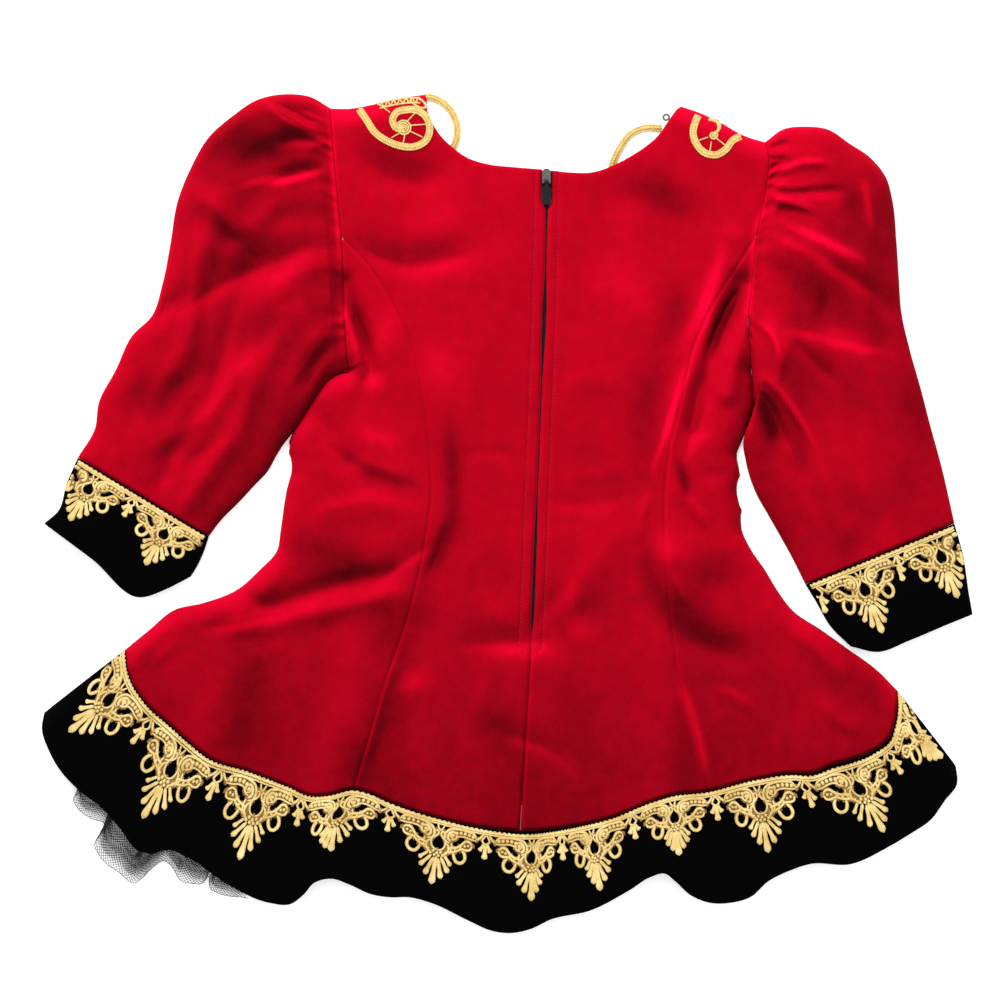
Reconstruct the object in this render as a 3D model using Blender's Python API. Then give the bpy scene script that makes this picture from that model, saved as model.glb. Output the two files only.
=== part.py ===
"""A child's velvet costume dress with lace trim, laid face down on a surface.

The garment lies in its row frame: +X to the photo's right, +Y towards the neck, +Z up, with the origin
under the middle of the outline. The front lies flat on the surface. The back panels lie over it with
the loft of velvet and a net underskirt, closed to the front at the shoulders and side seams and open at
the neck and the hem. Sleeves and cuffs are closed tubes. Tables are in millimetres.
"""
import math

import bmesh
import bpy
import numpy as np
from mathutils import Vector
from mathutils.bvhtree import BVHTree
from mathutils.geometry import tessellate_polygon

MM = 0.001

# Cloth
WALL = 1.5            # velvet with its seam allowances, pressed
SEAM_GAP = 0.3        # between two pieces that are sewn together
LAYER_GAP = 0.3       # between a piece and what it lies on
STEEPEST_WALL = 1.9   # the most that a sloping wall is thickened upwards
BODICE_LOFT = 8.2     # inner height of the back over the front, bodice
SKIRT_LOFT = 9.4      # the same in the skirt, over the net
WAIST_Y = 40.0
LOFT_CHANGE = 60.0    # length over which the loft changes
SIDE_ROUND = 17.0     # width of the rounded edge at a side seam or shoulder
FRONT_TUCK = 8.0      # how far the front's hem and neck stay inside the back's

# Lace
LACE_THICK = 1.5
LACE_PITCH_STATIONS = (-0.5, -0.4, -0.29, -0.21, -0.05, 0.05, 0.21, 0.29, 0.4, 0.5)
LACE_DEPTH_AT = (0.44, 0.34, 0.53, 0.70, 0.97, 0.97, 0.70, 0.53, 0.34, 0.44)
LACE_ROWS = (0.0, 0.10, 0.23, 0.40, 0.58, 1.0)
LACE_HEM_MARGIN = 7.0  # the least that the band shows below the lace
LACE_EYE_HALF = 0.04   # half width of a motif's middle holes, in pitches
LACE_RING = (0.22, 0.28)  # where its side holes lie, in pitches from the middle
LACE_EYE_ROW, LACE_RING_ROW = 1, 3

# Braid
BRAID_WIDE = 5.2
BRAID_THICK = 2.0
BRAID_EDGE_THICK = 1.1
BRAID_CROWN_SHARE = 0.45  # half width of the braid's thick middle, as a share of its own
BRAID_STEP = 5.0
BRAID_FOOT = 2.5       # how far round a braid's point the cloth below it is felt

# Sleeve section: share of the way across for the upper points, and mm in from an edge for the lower ones
SLEEVE_TOP = (0.0, 0.02, 0.07, 0.13, 0.19, 0.25, 0.31, 0.37, 0.43, 0.49, 0.55, 0.61, 0.67, 0.73, 0.79,
              0.86, 0.93, 0.98, 1.0)
SLEEVE_UNDER = (2.0, 7.0)
UNDER_SHARES = (0.82, 0.66, 0.5, 0.34, 0.18)
EDGE_HEIGHT = 2.6     # where the upper and the under side of a tube meet
EDGE_ROUND = 6.0      # how far in from that edge the underside rests
TUBE_POWER = 3.0      # the roundness of the tube's upper side
SLEEVE_START = 1.0    # the sleeve's first ring lies this far from the armhole line
SLEEVE_ROWS = (0, .035, .075, .12, .175, .24, .31, .385, .46, .54, .62, .70, .785, .87, .94, 1)
SLEEVE_RISE = 0.05    # share of the sleeve over which it leaves the body's height
GATHER_START = 0.08   # share of the sleeve over which a gather rises
FOLD_START = 0.1      # the same for a long fold
SLEEVE_EDGE_FADE = 0.06  # share of the width over which gathers and folds fade at the edges
INNER_CLEARANCE = 0.5  # least inside height of a tube

# Back panels: shares down them and across them, and the share of the top edge that is the shoulder
PANEL_ROWS = (0, .05, .10, .155, .21, .265, .32, .38, .44, .50, .56, .62, .68, .74, .80, .86, .92)
ARMHOLE_TURN_ROW = 3
UNDERARM_ROW = 6
CENTRE_COLUMNS = (0, .15, .30, .45, .60, .76, .90, 1)
SIDE_COLUMNS = (0, .06, .17, .33, .52, .76, 1)
SHOULDER_SHARE = .45

# The front stays this far inside the back's closed edges, its armholes and the band seam
FRONT_INSIDE = 1.0
FRONT_ARMHOLE_INSIDE = 1.6
FRONT_SEAM_INSIDE = 0.4

# Centre back zip
ZIP_TAPE_HALF = 12.0
ZIP_TAPE_THICK = 1.2
SLIT_SHUT = SEAM_GAP / 2
SLIT_HALF = ((0.0, 4.2), (0.05, 4.0), (0.10, 1.1), (0.70, 1.1), (0.74, SLIT_SHUT), (1.0, SLIT_SHUT))
ZIP_ROWS = 14         # panel rows down which the tape runs
PIVOT = (29.2, 254.6)
SLIDER_LONG = 10.0
SLIDER_WIDE = 6.4
SLIDER_THICK = 3.4
SLIDER_NOSE = (1.6, 2.0)  # bevel of the slider's upper corners, across and along
SLIDER_SEAT = 0.05    # between the slider and the cloth's inner side
LUG_THICK = 1.0
LUG_ROUND = 0.6       # metal round the pin
LUG_CAP = 0.5
PIN_RADIUS = 0.6
EYE_INNER = 0.95
EYE_OUTER = 1.7
PULL_LONG = 17.5
PULL_WIDE = 7.4
PULL_NECK_WIDE = 3.2
PULL_NECK_FROM = EYE_INNER + 0.35
PULL_TAB_FROM = 3.4
PULL_TAPER = 2.2      # length over which the neck widens to the tab
PULL_CORNER = 1.2
PULL_SKIN = 0.06      # how much thicker the tab is than its neck, on each side
PULL_THICK = 1.2
PULL_DROOP = math.radians(7.0)

# Outlines, in mm, each from its first named end to its second
CENTRE_BACK = ((30, 264), (28, 164), (25, 87), (22, 10), (19, -67), (15, -144), (9, -241))
NECK_LEFT = ((-63, 323), (-63, 310), (-58, 299), (-52, 290), (-45, 283), (-31, 273), (-14, 268),
             (5, 266), (30, 264))
NECK_RIGHT = ((132, 314), (126, 306), (120, 297), (114, 289), (107, 283), (95, 275), (84, 269),
              (64, 262), (47, 262), (30, 264))
SHOULDER_LEFT = ((-137, 312), (-122, 312), (-105, 315), (-84, 320), (-63, 323))
SHOULDER_RIGHT = ((198, 286), (182, 291), (164, 301), (147, 309), (132, 314))
ARMHOLE_LEFT_UPPER = ((-137, 312), (-134, 272), (-131, 240), (-128, 212))
ARMHOLE_LEFT_LOWER = ((-128, 212), (-127, 187), (-126, 149), (-123, 109))
ARMHOLE_RIGHT_UPPER = ((198, 286), (200, 270), (198, 250), (191, 214))
ARMHOLE_RIGHT_LOWER = ((191, 214), (187, 178), (184, 143), (187, 109))
PRINCESS_LEFT = ((-128, 212), (-109, 192), (-90, 162), (-74, 126), (-66, 87), (-61, 49), (-60, 10),
                 (-65, -25), (-76, -74), (-95, -131), (-110, -182), (-119, -212))
PRINCESS_RIGHT = ((191, 214), (174, 187), (157, 160), (142, 126), (133, 87), (124, 49), (120, 10),
                  (120, -25), (124, -75), (131, -127), (144, -171), (153, -214))
SIDE_LEFT = ((-123, 109), (-142, 89), (-155, 71), (-166, 52), (-167, 35), (-171, 18), (-176, -15),
             (-178, -28), (-192, -44), (-209, -59), (-234, -69), (-258, -75), (-278, -91), (-295, -105))
SIDE_RIGHT = ((187, 109), (188, 81), (180, 56), (176, 45), (178, 33), (176, 18), (179, 2), (180, -13),
              (187, -28), (198, -44), (207, -59), (219, -75), (241, -90), (262, -105), (284, -121),
              (299, -136))
BAND_SEAM = ((-295, -105), (-291, -126), (-276, -149), (-261, -162), (-245, -176), (-230, -188),
             (-199, -199), (-168, -211), (-153, -217), (-137, -216), (-119, -212), (-107, -213),
             (-91, -219), (-60, -229), (-14, -239), (9, -241), (47, -238), (78, -233), (109, -220),
             (124, -216), (153, -214), (186, -206), (217, -200), (232, -200), (248, -194), (278, -184),
             (293, -173), (297, -161), (299, -149), (299, -136))
BAND_LEFT = ((-295, -105), (-325, -119), (-341, -135), (-358, -154))
BAND_RIGHT = ((299, -136), (319, -153), (332, -169), (345, -195))
HEM = ((-358, -154), (-359, -167), (-354, -182), (-345, -198), (-331, -213), (-313, -227), (-298, -244),
       (-286, -259), (-276, -262), (-261, -259), (-245, -266), (-214, -287), (-184, -300), (-168, -301),
       (-158, -294), (-149, -284), (-137, -281), (-122, -286), (-107, -293), (-91, -296), (-76, -296),
       (-60, -300), (-30, -314), (-14, -321), (1, -323), (17, -320), (32, -313), (63, -306), (94, -290),
       (109, -280), (120, -277), (128, -283), (140, -294), (155, -300), (171, -300), (186, -296),
       (201, -283), (217, -275), (232, -270), (263, -270), (294, -256), (309, -247), (325, -236),
       (336, -221), (345, -209), (345, -195))

# Sleeves and cuffs: outer edge, inner edge, and the seam line or end edge across
SLEEVE_LEFT_OUTER = ((-137, 312), (-153, 321), (-173, 323), (-193, 319), (-213, 306), (-231, 290),
                     (-245, 266), (-255, 241), (-261, 206), (-267, 176), (-275, 152), (-290, 137),
                     (-303, 110), (-316, 85), (-319, 65), (-332, 43))
SLEEVE_LEFT_INNER = ((-123, 109), (-131, 107), (-137, 104), (-143, 98), (-148, 90), (-154, 81),
                     (-160, 71), (-167, 61), (-174, 52), (-179, 44), (-185, 33), (-197, 20),
                     (-208, 8), (-221, -5), (-231, -18))
SLEEVE_RIGHT_OUTER = ((198, 286), (212, 296), (229, 298), (246, 296), (263, 285), (278, 275),
                      (291, 259), (296, 241), (299, 211), (301, 182), (303, 155), (309, 128),
                      (318, 96), (325, 69), (334, 36), (344, -8))
SLEEVE_RIGHT_INNER = ((187, 109), (190, 105), (192, 99), (193, 88), (192, 80), (188, 71), (184, 62),
                      (182, 53), (183, 42), (186, 28), (191, 15), (200, -1), (208, -15), (218, -33),
                      (229, -55))
CUFF_LEFT_SEAM = ((-332, 43), (-231, -18))
CUFF_RIGHT_SEAM = ((344, -8), (229, -55))
CUFF_LEFT_OUTER = ((-332, 43), (-341, 22), (-347, 2), (-358, -8))
CUFF_LEFT_INNER = ((-231, -18), (-235, -30), (-240, -41), (-245, -49))
CUFF_LEFT_END = ((-358, -8), (-320, -36), (-283, -65), (-262, -58), (-245, -49))
CUFF_RIGHT_OUTER = ((344, -8), (351, -34), (355, -61), (358, -78))
CUFF_RIGHT_INNER = ((229, -55), (237, -68), (248, -87), (264, -103))
CUFF_RIGHT_END = ((358, -78), (340, -85), (309, -98), (284, -107), (264, -103))

# Sleeve puff: share of the sleeve's length, height of the tube
SLEEVE_PUFF = ((0.0, 11.0), (0.07, 19.0), (0.18, 26.0), (0.32, 24.0), (0.5, 18.0), (0.7, 13.5),
               (0.88, 12.2), (1.0, 11.5))
CUFF_HEIGHT = 11.5
CUFF_EDGE_SHARE = 0.035  # share of the cuff's width at each edge without lace
CUFF_LACE_CLEAR = 0.01
CUFF_END_BOW = 8.0    # how much longer a cuff is in its middle than along its edges
CUFF_LACE_SHARES = (0.1, 0.93)

# Gathers of a sleeve cap, one for every other upper point: height, share of the sleeve's length
GATHERS_LEFT = ((2.4, 0.34), (4.4, 0.46), (3.4, 0.30), (5.0, 0.52), (3.8, 0.36), (4.8, 0.44),
                (3.0, 0.30), (4.0, 0.38), (2.2, 0.26))
GATHERS_RIGHT = ((2.0, 0.30), (3.8, 0.42), (4.6, 0.34), (3.2, 0.48), (5.0, 0.40), (3.6, 0.30),
                 (4.4, 0.46), (3.0, 0.34), (2.4, 0.28))

# Long folds of the sleeves: across and down the sleeve at the start, the same at the end, height, width
SLEEVE_FOLDS_LEFT = (((0.20, 0.25), (0.30, 0.75), 3.0, 0.07), ((0.48, 0.30), (0.55, 0.90), -2.4, 0.06),
                     ((0.74, 0.35), (0.78, 0.90), 3.4, 0.07), ((0.92, 0.20), (0.62, 0.42), -3.0, 0.07))
SLEEVE_FOLDS_RIGHT = (((0.22, 0.28), (0.24, 0.80), 3.0, 0.07), ((0.45, 0.35), (0.42, 0.90), -2.4, 0.06),
                      ((0.70, 0.30), (0.66, 0.88), 3.2, 0.07), ((0.90, 0.22), (0.72, 0.62), -4.2, 0.08))

# Folds of the body: its route in mm, height, half width
FOLDS = (
    ("underarm trough left", ((-128, 176), (-119, 152), (-110, 128), (-106, 108)), -6.0, 8.0),
    ("underarm ridge left", ((-124, 150), (-119, 128), (-114, 108)), 2.5, 6.0),
    ("bodice shadow left", ((-148, 76), (-137, 60), (-122, 42)), -3.5, 10.0),
    ("underarm trough right", ((180, 176), (168, 148), (158, 122), (149, 96), (145, 66)), -6.0, 9.0),
    ("underarm ridge right", ((184, 150), (176, 120), (170, 92)), 3.0, 8.0),
    ("skirt trough left", ((-182, -74), (-140, -60), (-92, -51)), -5.5, 11.0),
    ("skirt ridge left", ((-206, -86), (-148, -74), (-98, -62)), 3.5, 10.0),
    ("flute left", ((-100, -60), (-120, -150), (-146, -284)), 5.5, 20.0),
    ("flute left hollow", ((-70, -90), (-78, -190), (-84, -296)), -3.0, 16.0),
    ("flute centre", ((-10, -90), (-4, -200), (2, -322)), 2.6, 26.0),
    ("flute centre hollow", ((60, -80), (70, -180), (84, -296)), -3.0, 18.0),
    ("flute right", ((122, -40), (126, -160), (121, -277)), 5.5, 18.0),
    ("flute right hollow", ((160, -60), (176, -180), (192, -290)), -3.0, 16.0),
    ("flute far right", ((200, -90), (232, -190), (252, -270)), 3.0, 22.0),
    ("flute far left", ((-200, -110), (-236, -200), (-262, -259)), 3.0, 20.0),
    ("waist hollow", ((-60, 20), (20, 12), (120, 20)), -1.0, 22.0),
)

# Lace on the hem: seam point under the motif's middle, its point's tip, depth
HEM_MOTIFS = (((-296, -132), (-340, -166), 56), ((-251, -181), (-286, -232), 58),
              ((-189, -212), (-209, -266), 56), ((-126, -220), (-135, -260), 44),
              ((-52, -238), (-61, -285), 48), ((18, -247), (19, -298), 51),
              ((64, -246), (74, -290), 45), ((126, -219), (131, -263), 44),
              ((191, -212), (202, -261), 50), ((260, -198), (288, -246), 53),
              ((305, -151), (340, -182), 44))
HEM_REACH = 0.6       # a motif's line meets the hem near this share of its depth past its tip
HEM_LEFT_END = -0.4
HEM_RIGHT_END = 0.29

# Lace on the cuffs, along the cuff seam from the outer edge: middle of each motif in mm, depth
CUFF_MOTIFS_LEFT = ((20.0, 40), (89.0, 42))
CUFF_MOTIFS_RIGHT = ((20.0, 44), (86.0, 46))
CUFF_PITCH = 68.0

# Braid routes
NECK_BRAID_LEFT = ((-60, 321), (-53, 318), (-45, 311), (-40, 300), (-40, 289), (-44, 280), (-48, 276))
NECK_BRAID_RIGHT = ((118, 297), (105, 297), (94, 292), (87, 283), (81, 271), (78.3, 260.1))
SHOULDER_BRAID_LEFT = ((-115, 311), (-109, 302), (-103, 293), (-91, 285), (-82, 282), (-71, 282),
                       (-63.5, 286.5), (-60.5, 295), (-63, 304), (-70, 309.5), (-79, 310), (-86, 308),
                       (-89, 302), (-86, 296), (-80, 296))
SHOULDER_EDGING_LEFT = ((-99, 313.5), (-88, 316), (-76, 317.5), (-68, 317.5))
SHOULDER_BRAID_RIGHT = ((146, 306), (143.5, 300), (142, 292), (145, 283), (151, 277), (160, 275.5),
                        (167, 279.5), (173, 287), (179, 290))
SHOULDER_DROP_RIGHT = ((154, 303), (160.5, 301), (161.5, 295), (157, 290))

# Metal eye at the neck
EYE_AT = (121.5, 304.8)
EYE_LEVEL = 7.2
EYE_RING = 2.2
EYE_WIRE = 0.8

# Net: shares along the hem where it shows past the band, and how far it reaches past the front's hem
NET_FROM = 0.055
NET_TO = 0.262
NET_PAST = 31.0
NET_INSIDE = 60.0
NET_WAVES = 9
NET_WAVE_HIGH = 1.7
NET_WAVE_OUT = 2.5
NET_FLAT_TO = 14.0    # inside the hem by more than this the net lies flat
NET_TAPER = 0.03      # shares of the hem over which its ends are drawn in
NET_END_SHARE = 0.25
NET_SMOOTH = 6        # neighbours on each side over which its direction is evened out
NET_THICK = 1.0

# Colours, linear red, green, blue
RED_VELVET = (0.42, 0.008, 0.010)
BLACK_VELVET = (0.008, 0.007, 0.009)
GOLD_LACE = (0.62, 0.43, 0.16)
BLACK_NET = (0.012, 0.012, 0.013)
ZIP_BLACK = (0.01, 0.01, 0.01)
NICKEL = (0.55, 0.54, 0.53)


def clear_scene():
    """Start from an empty file."""
    for item in list(bpy.data.objects):
        bpy.data.objects.remove(item, do_unlink=True)


def finish(name, colour, roughness, metallic=0.0):
    """A Principled material for one kind of piece."""
    material = bpy.data.materials.new(name)
    material.use_nodes = True
    shader = material.node_tree.nodes["Principled BSDF"]
    shader.inputs["Base Color"].default_value = (*colour, 1.0)
    shader.inputs["Roughness"].default_value = roughness
    shader.inputs["Metallic"].default_value = metallic
    return material


class Curve:
    """A smooth line through the points of a short table, read by the share of its length."""

    def __init__(self, table):
        knots = np.array(table, float)
        step = np.hypot(*np.diff(knots, axis=0).T)
        along = np.concatenate(([0.0], np.cumsum(step)))
        slope = np.gradient(knots, along, axis=0)
        rows = []
        for k in range(len(step)):
            t = np.linspace(0.0, 1.0, 24, endpoint=False)[:, None]
            h = step[k]
            rows.append((2 * t**3 - 3 * t**2 + 1) * knots[k] + (t**3 - 2 * t**2 + t) * h * slope[k]
                        + (3 * t**2 - 2 * t**3) * knots[k + 1] + (t**3 - t**2) * h * slope[k + 1])
        self.points = np.vstack(rows + [knots[-1:]])
        reach = np.hypot(*np.diff(self.points, axis=0).T)
        self.along = np.concatenate(([0.0], np.cumsum(reach)))
        self.length = self.along[-1]

    def at(self, share):
        place = np.clip(np.asarray(share, float), 0.0, 1.0) * self.length
        return np.stack([np.interp(place, self.along, self.points[:, k]) for k in (0, 1)], axis=-1)

    def nearest(self, point):
        """The share of the length that lies nearest to a point."""
        gap = np.hypot(*(self.points - np.array(point, float)).T)
        return self.along[int(np.argmin(gap))] / self.length


def distance_to_line(places, line):
    """The distance in plan from each place to a line of points."""
    start = line[:-1][None]
    run = (line[1:] - line[:-1])[None]
    offset = places[:, None] - start
    share = np.clip((offset * run).sum(-1) / np.maximum((run**2).sum(-1), 1e-9), 0.0, 1.0)
    return np.hypot(*np.moveaxis(offset - share[..., None] * run, -1, 0)).min(axis=1)


CLOSED_EDGES = [Curve(table).at(np.linspace(0, 1, 40)) for table in
                (SHOULDER_LEFT, SHOULDER_RIGHT, SIDE_LEFT + BAND_LEFT[1:], SIDE_RIGHT + BAND_RIGHT[1:])]
FRONT_TOP = WALL + LAYER_GAP


def back_height(places):
    """Inner height of the back over the surface: loft, rounded closed edges and folds."""
    places = np.asarray(places, float).reshape(-1, 2)
    skirt = np.clip((WAIST_Y - places[:, 1]) / LOFT_CHANGE, 0.0, 1.0)
    height = BODICE_LOFT + (SKIRT_LOFT - BODICE_LOFT) * skirt
    edge = np.min([distance_to_line(places, line) for line in CLOSED_EDGES], axis=0)
    near = 1.0 - np.clip(edge / SIDE_ROUND, 0.0, 1.0)
    rounded = np.sqrt(1.0 - near**2)
    for _, route, rise, width in FOLDS:
        gap = distance_to_line(places, np.array(route, float))
        height = height + rise * np.exp(-(gap / width) ** 2)
    return FRONT_TOP + np.maximum(height, 1.0) * rounded


def wall_of(height, places):
    """Upright thickness that gives a sloping wall its true thickness."""
    places = np.asarray(places, float).reshape(-1, 2)
    step = 2.0
    slope_x = (height(places + (step, 0)) - height(places - (step, 0))) / (2 * step)
    slope_y = (height(places + (0, step)) - height(places - (0, step))) / (2 * step)
    steep = np.sqrt(1.0 + slope_x**2 + slope_y**2)
    return WALL * np.minimum(steep, STEEPEST_WALL)


def solid(name, points, triangles, material):
    """One closed object from points in mm and triangles that face outwards."""
    mesh = bpy.data.meshes.new(name)
    mesh.from_pydata((np.asarray(points, float) * MM).tolist(), [], [tuple(t) for t in triangles])
    mesh.validate()
    mesh.update()
    mesh.materials.append(material)
    made = bpy.data.objects.new(name, mesh)
    bpy.context.scene.collection.objects.link(made)
    return made


def sheet_solid(name, places, triangles, under, over, material):
    """A wall between an under height and an over height on one plan of triangles."""
    triangles = np.array(triangles, int)
    corner = [places[triangles[:, k]] for k in range(3)]
    turn = ((corner[1][:, 0] - corner[0][:, 0]) * (corner[2][:, 1] - corner[0][:, 1])
            - (corner[1][:, 1] - corner[0][:, 1]) * (corner[2][:, 0] - corner[0][:, 0]))
    triangles[turn < 0] = triangles[turn < 0][:, ::-1]
    used, flat = np.unique(triangles, return_inverse=True)
    triangles = flat.reshape(-1, 3)
    places, under, over = places[used], under[used], over[used]
    count = len(used)
    edges = np.vstack((triangles[:, (0, 1)], triangles[:, (1, 2)], triangles[:, (2, 0)]))
    seen = {tuple(edge) for edge in edges}
    rim = [edge for edge in seen if (edge[1], edge[0]) not in seen]
    faces = [tuple(t) for t in triangles + count] + [tuple(t[::-1]) for t in triangles]
    for a, b in sorted(rim):
        faces.append((a, b, b + count))
        faces.append((a, b + count, a + count))
    points = np.vstack((np.column_stack((places, under)), np.column_stack((places, over))))
    return solid(name, points, faces, material)


def grid_triangles(rows, columns, first=0):
    """Two triangles for each cell of a grid of points."""
    cells = []
    for r in range(rows - 1):
        for c in range(columns - 1):
            a = first + r * columns + c
            cells.append((a, a + 1, a + columns + 1))
            cells.append((a, a + columns + 1, a + columns))
    return cells


def join_rows(upper, lower):
    """Triangles between two rows of point numbers with unlike counts."""
    made = []
    i = j = 0
    while i < len(upper) - 1 or j < len(lower) - 1:
        step_up = (i + 1) / (len(upper) - 1) if i < len(upper) - 1 else 2.0
        step_low = (j + 1) / (len(lower) - 1) if j < len(lower) - 1 else 2.0
        if step_up < step_low:
            made.append((upper[i], upper[i + 1], lower[j]))
            i += 1
        else:
            made.append((upper[i], lower[j + 1], lower[j]))
            j += 1
    return made


def patch(top, bottom, left, right, across, down, hold=1):
    """Points of a surface spread between four edges, read at shares across and down.

    Straight lines run from the left edge to the right one. The bows of the top and bottom edges are
    added to them, and fade with the power hold of the distance from that edge.
    """
    u, v = np.broadcast_arrays(np.asarray(across, float), np.asarray(down, float))
    u3, v3 = u[..., None], v[..., None]
    top_bow = top(u) - (1 - u3) * top(0.0) - u3 * top(1.0)
    bottom_bow = bottom(u) - (1 - u3) * bottom(0.0) - u3 * bottom(1.0)
    return (1 - u3) * left(v) + u3 * right(v) + (1 - v3) ** hold * top_bow + v3**hold * bottom_bow


def draw_in(grid, side, amount):
    """Move one edge of a grid of points inwards, which leaves the gap at a seam."""
    edge, inner = {"top": (grid[0], grid[1]), "bottom": (grid[-1], grid[-2]),
                   "left": (grid[:, 0], grid[:, 1]), "right": (grid[:, -1], grid[:, -2])}[side]
    away = inner - edge
    edge += away / np.hypot(*away.T)[:, None] * np.reshape(amount, (-1, 1))


class Band:
    """Plan of the hem band and its lace, column by column along the seam."""

    def __init__(self):
        self.seam = Curve(BAND_SEAM)
        self.hem = Curve(HEM)
        seam_at = [self.seam.nearest(row[0]) for row in HEM_MOTIFS]
        hem_at = []
        for seam_point, tip, _ in HEM_MOTIFS:
            reach = np.array(tip, float) + (np.array(tip, float) - seam_point) * HEM_REACH
            hem_at.append(self.hem.nearest(reach))
        columns = []
        last = len(HEM_MOTIFS) - 1
        for k, (_, _, depth) in enumerate(HEM_MOTIFS):
            for station, share in zip(LACE_PITCH_STATIONS, LACE_DEPTH_AT):
                if k == 0 and station < HEM_LEFT_END:
                    continue
                if k == last and station > HEM_RIGHT_END:
                    continue
                if station == 0.5 and k < last:
                    continue
                columns.append((k + station, k, depth * share))
        position = np.array([row[0] for row in columns])
        knots = np.array([HEM_LEFT_END] + list(range(len(HEM_MOTIFS))) + [last + HEM_RIGHT_END])
        self.seam_share = np.interp(position, knots, [0.0] + seam_at + [1.0])
        self.hem_share = np.interp(position, knots, [0.0] + hem_at + [1.0])
        self.top = self.seam.at(self.seam_share)
        self.end = self.hem.at(self.hem_share)
        depth = np.array([row[2] for row in columns])
        full = np.hypot(*(self.end - self.top).T)
        self.depth = np.minimum(depth, full - LACE_HEM_MARGIN)
        self.full = full
        self.station = np.array([row[0] - row[1] for row in columns])

    def places(self):
        """Rows of points: lace rows from the seam to the scallops, then the hem's row."""
        drop = [share * self.depth for share in LACE_ROWS] + [self.full]
        way = (self.end - self.top) / self.full[:, None]
        return np.array([self.top + way * d[:, None] for d in drop])


def lace_cells(stations, rows):
    """Lace triangles on a grid, with the holes of each motif left out."""
    columns = len(stations)
    middle = (stations[:-1] + stations[1:]) / 2
    keep = []
    for r in range(rows - 1):
        for c in range(columns - 1):
            centre = abs(middle[c]) < LACE_EYE_HALF
            ring = LACE_RING[0] < abs(middle[c]) < LACE_RING[1]
            hole = (r == LACE_EYE_ROW and centre) or (r == LACE_RING_ROW and (centre or ring))
            if not hole:
                a = r * columns + c
                keep.append((a, a + 1, a + columns + 1))
                keep.append((a, a + columns + 1, a + columns))
    return keep


def panel_grid(top, bottom, left, right, columns, rows, zip_side=None):
    """Points of a back panel, with the column beside the zip kept at the tape's width."""
    across = np.tile(np.array(columns, float), (len(rows), 1))
    down = np.tile(np.array(rows, float)[:, None], (1, len(columns)))
    grid = patch(top, bottom, left, right, across, down, hold=3)
    if zip_side is not None:
        edge, inner = (0, 1) if zip_side == "left" else (-1, -2)
        away = grid[:, inner] - grid[:, edge]
        wide = np.hypot(*away.T)[:, None]
        grid[:, inner] = grid[:, edge] + away / wide * ZIP_TAPE_HALF
    return grid


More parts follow.
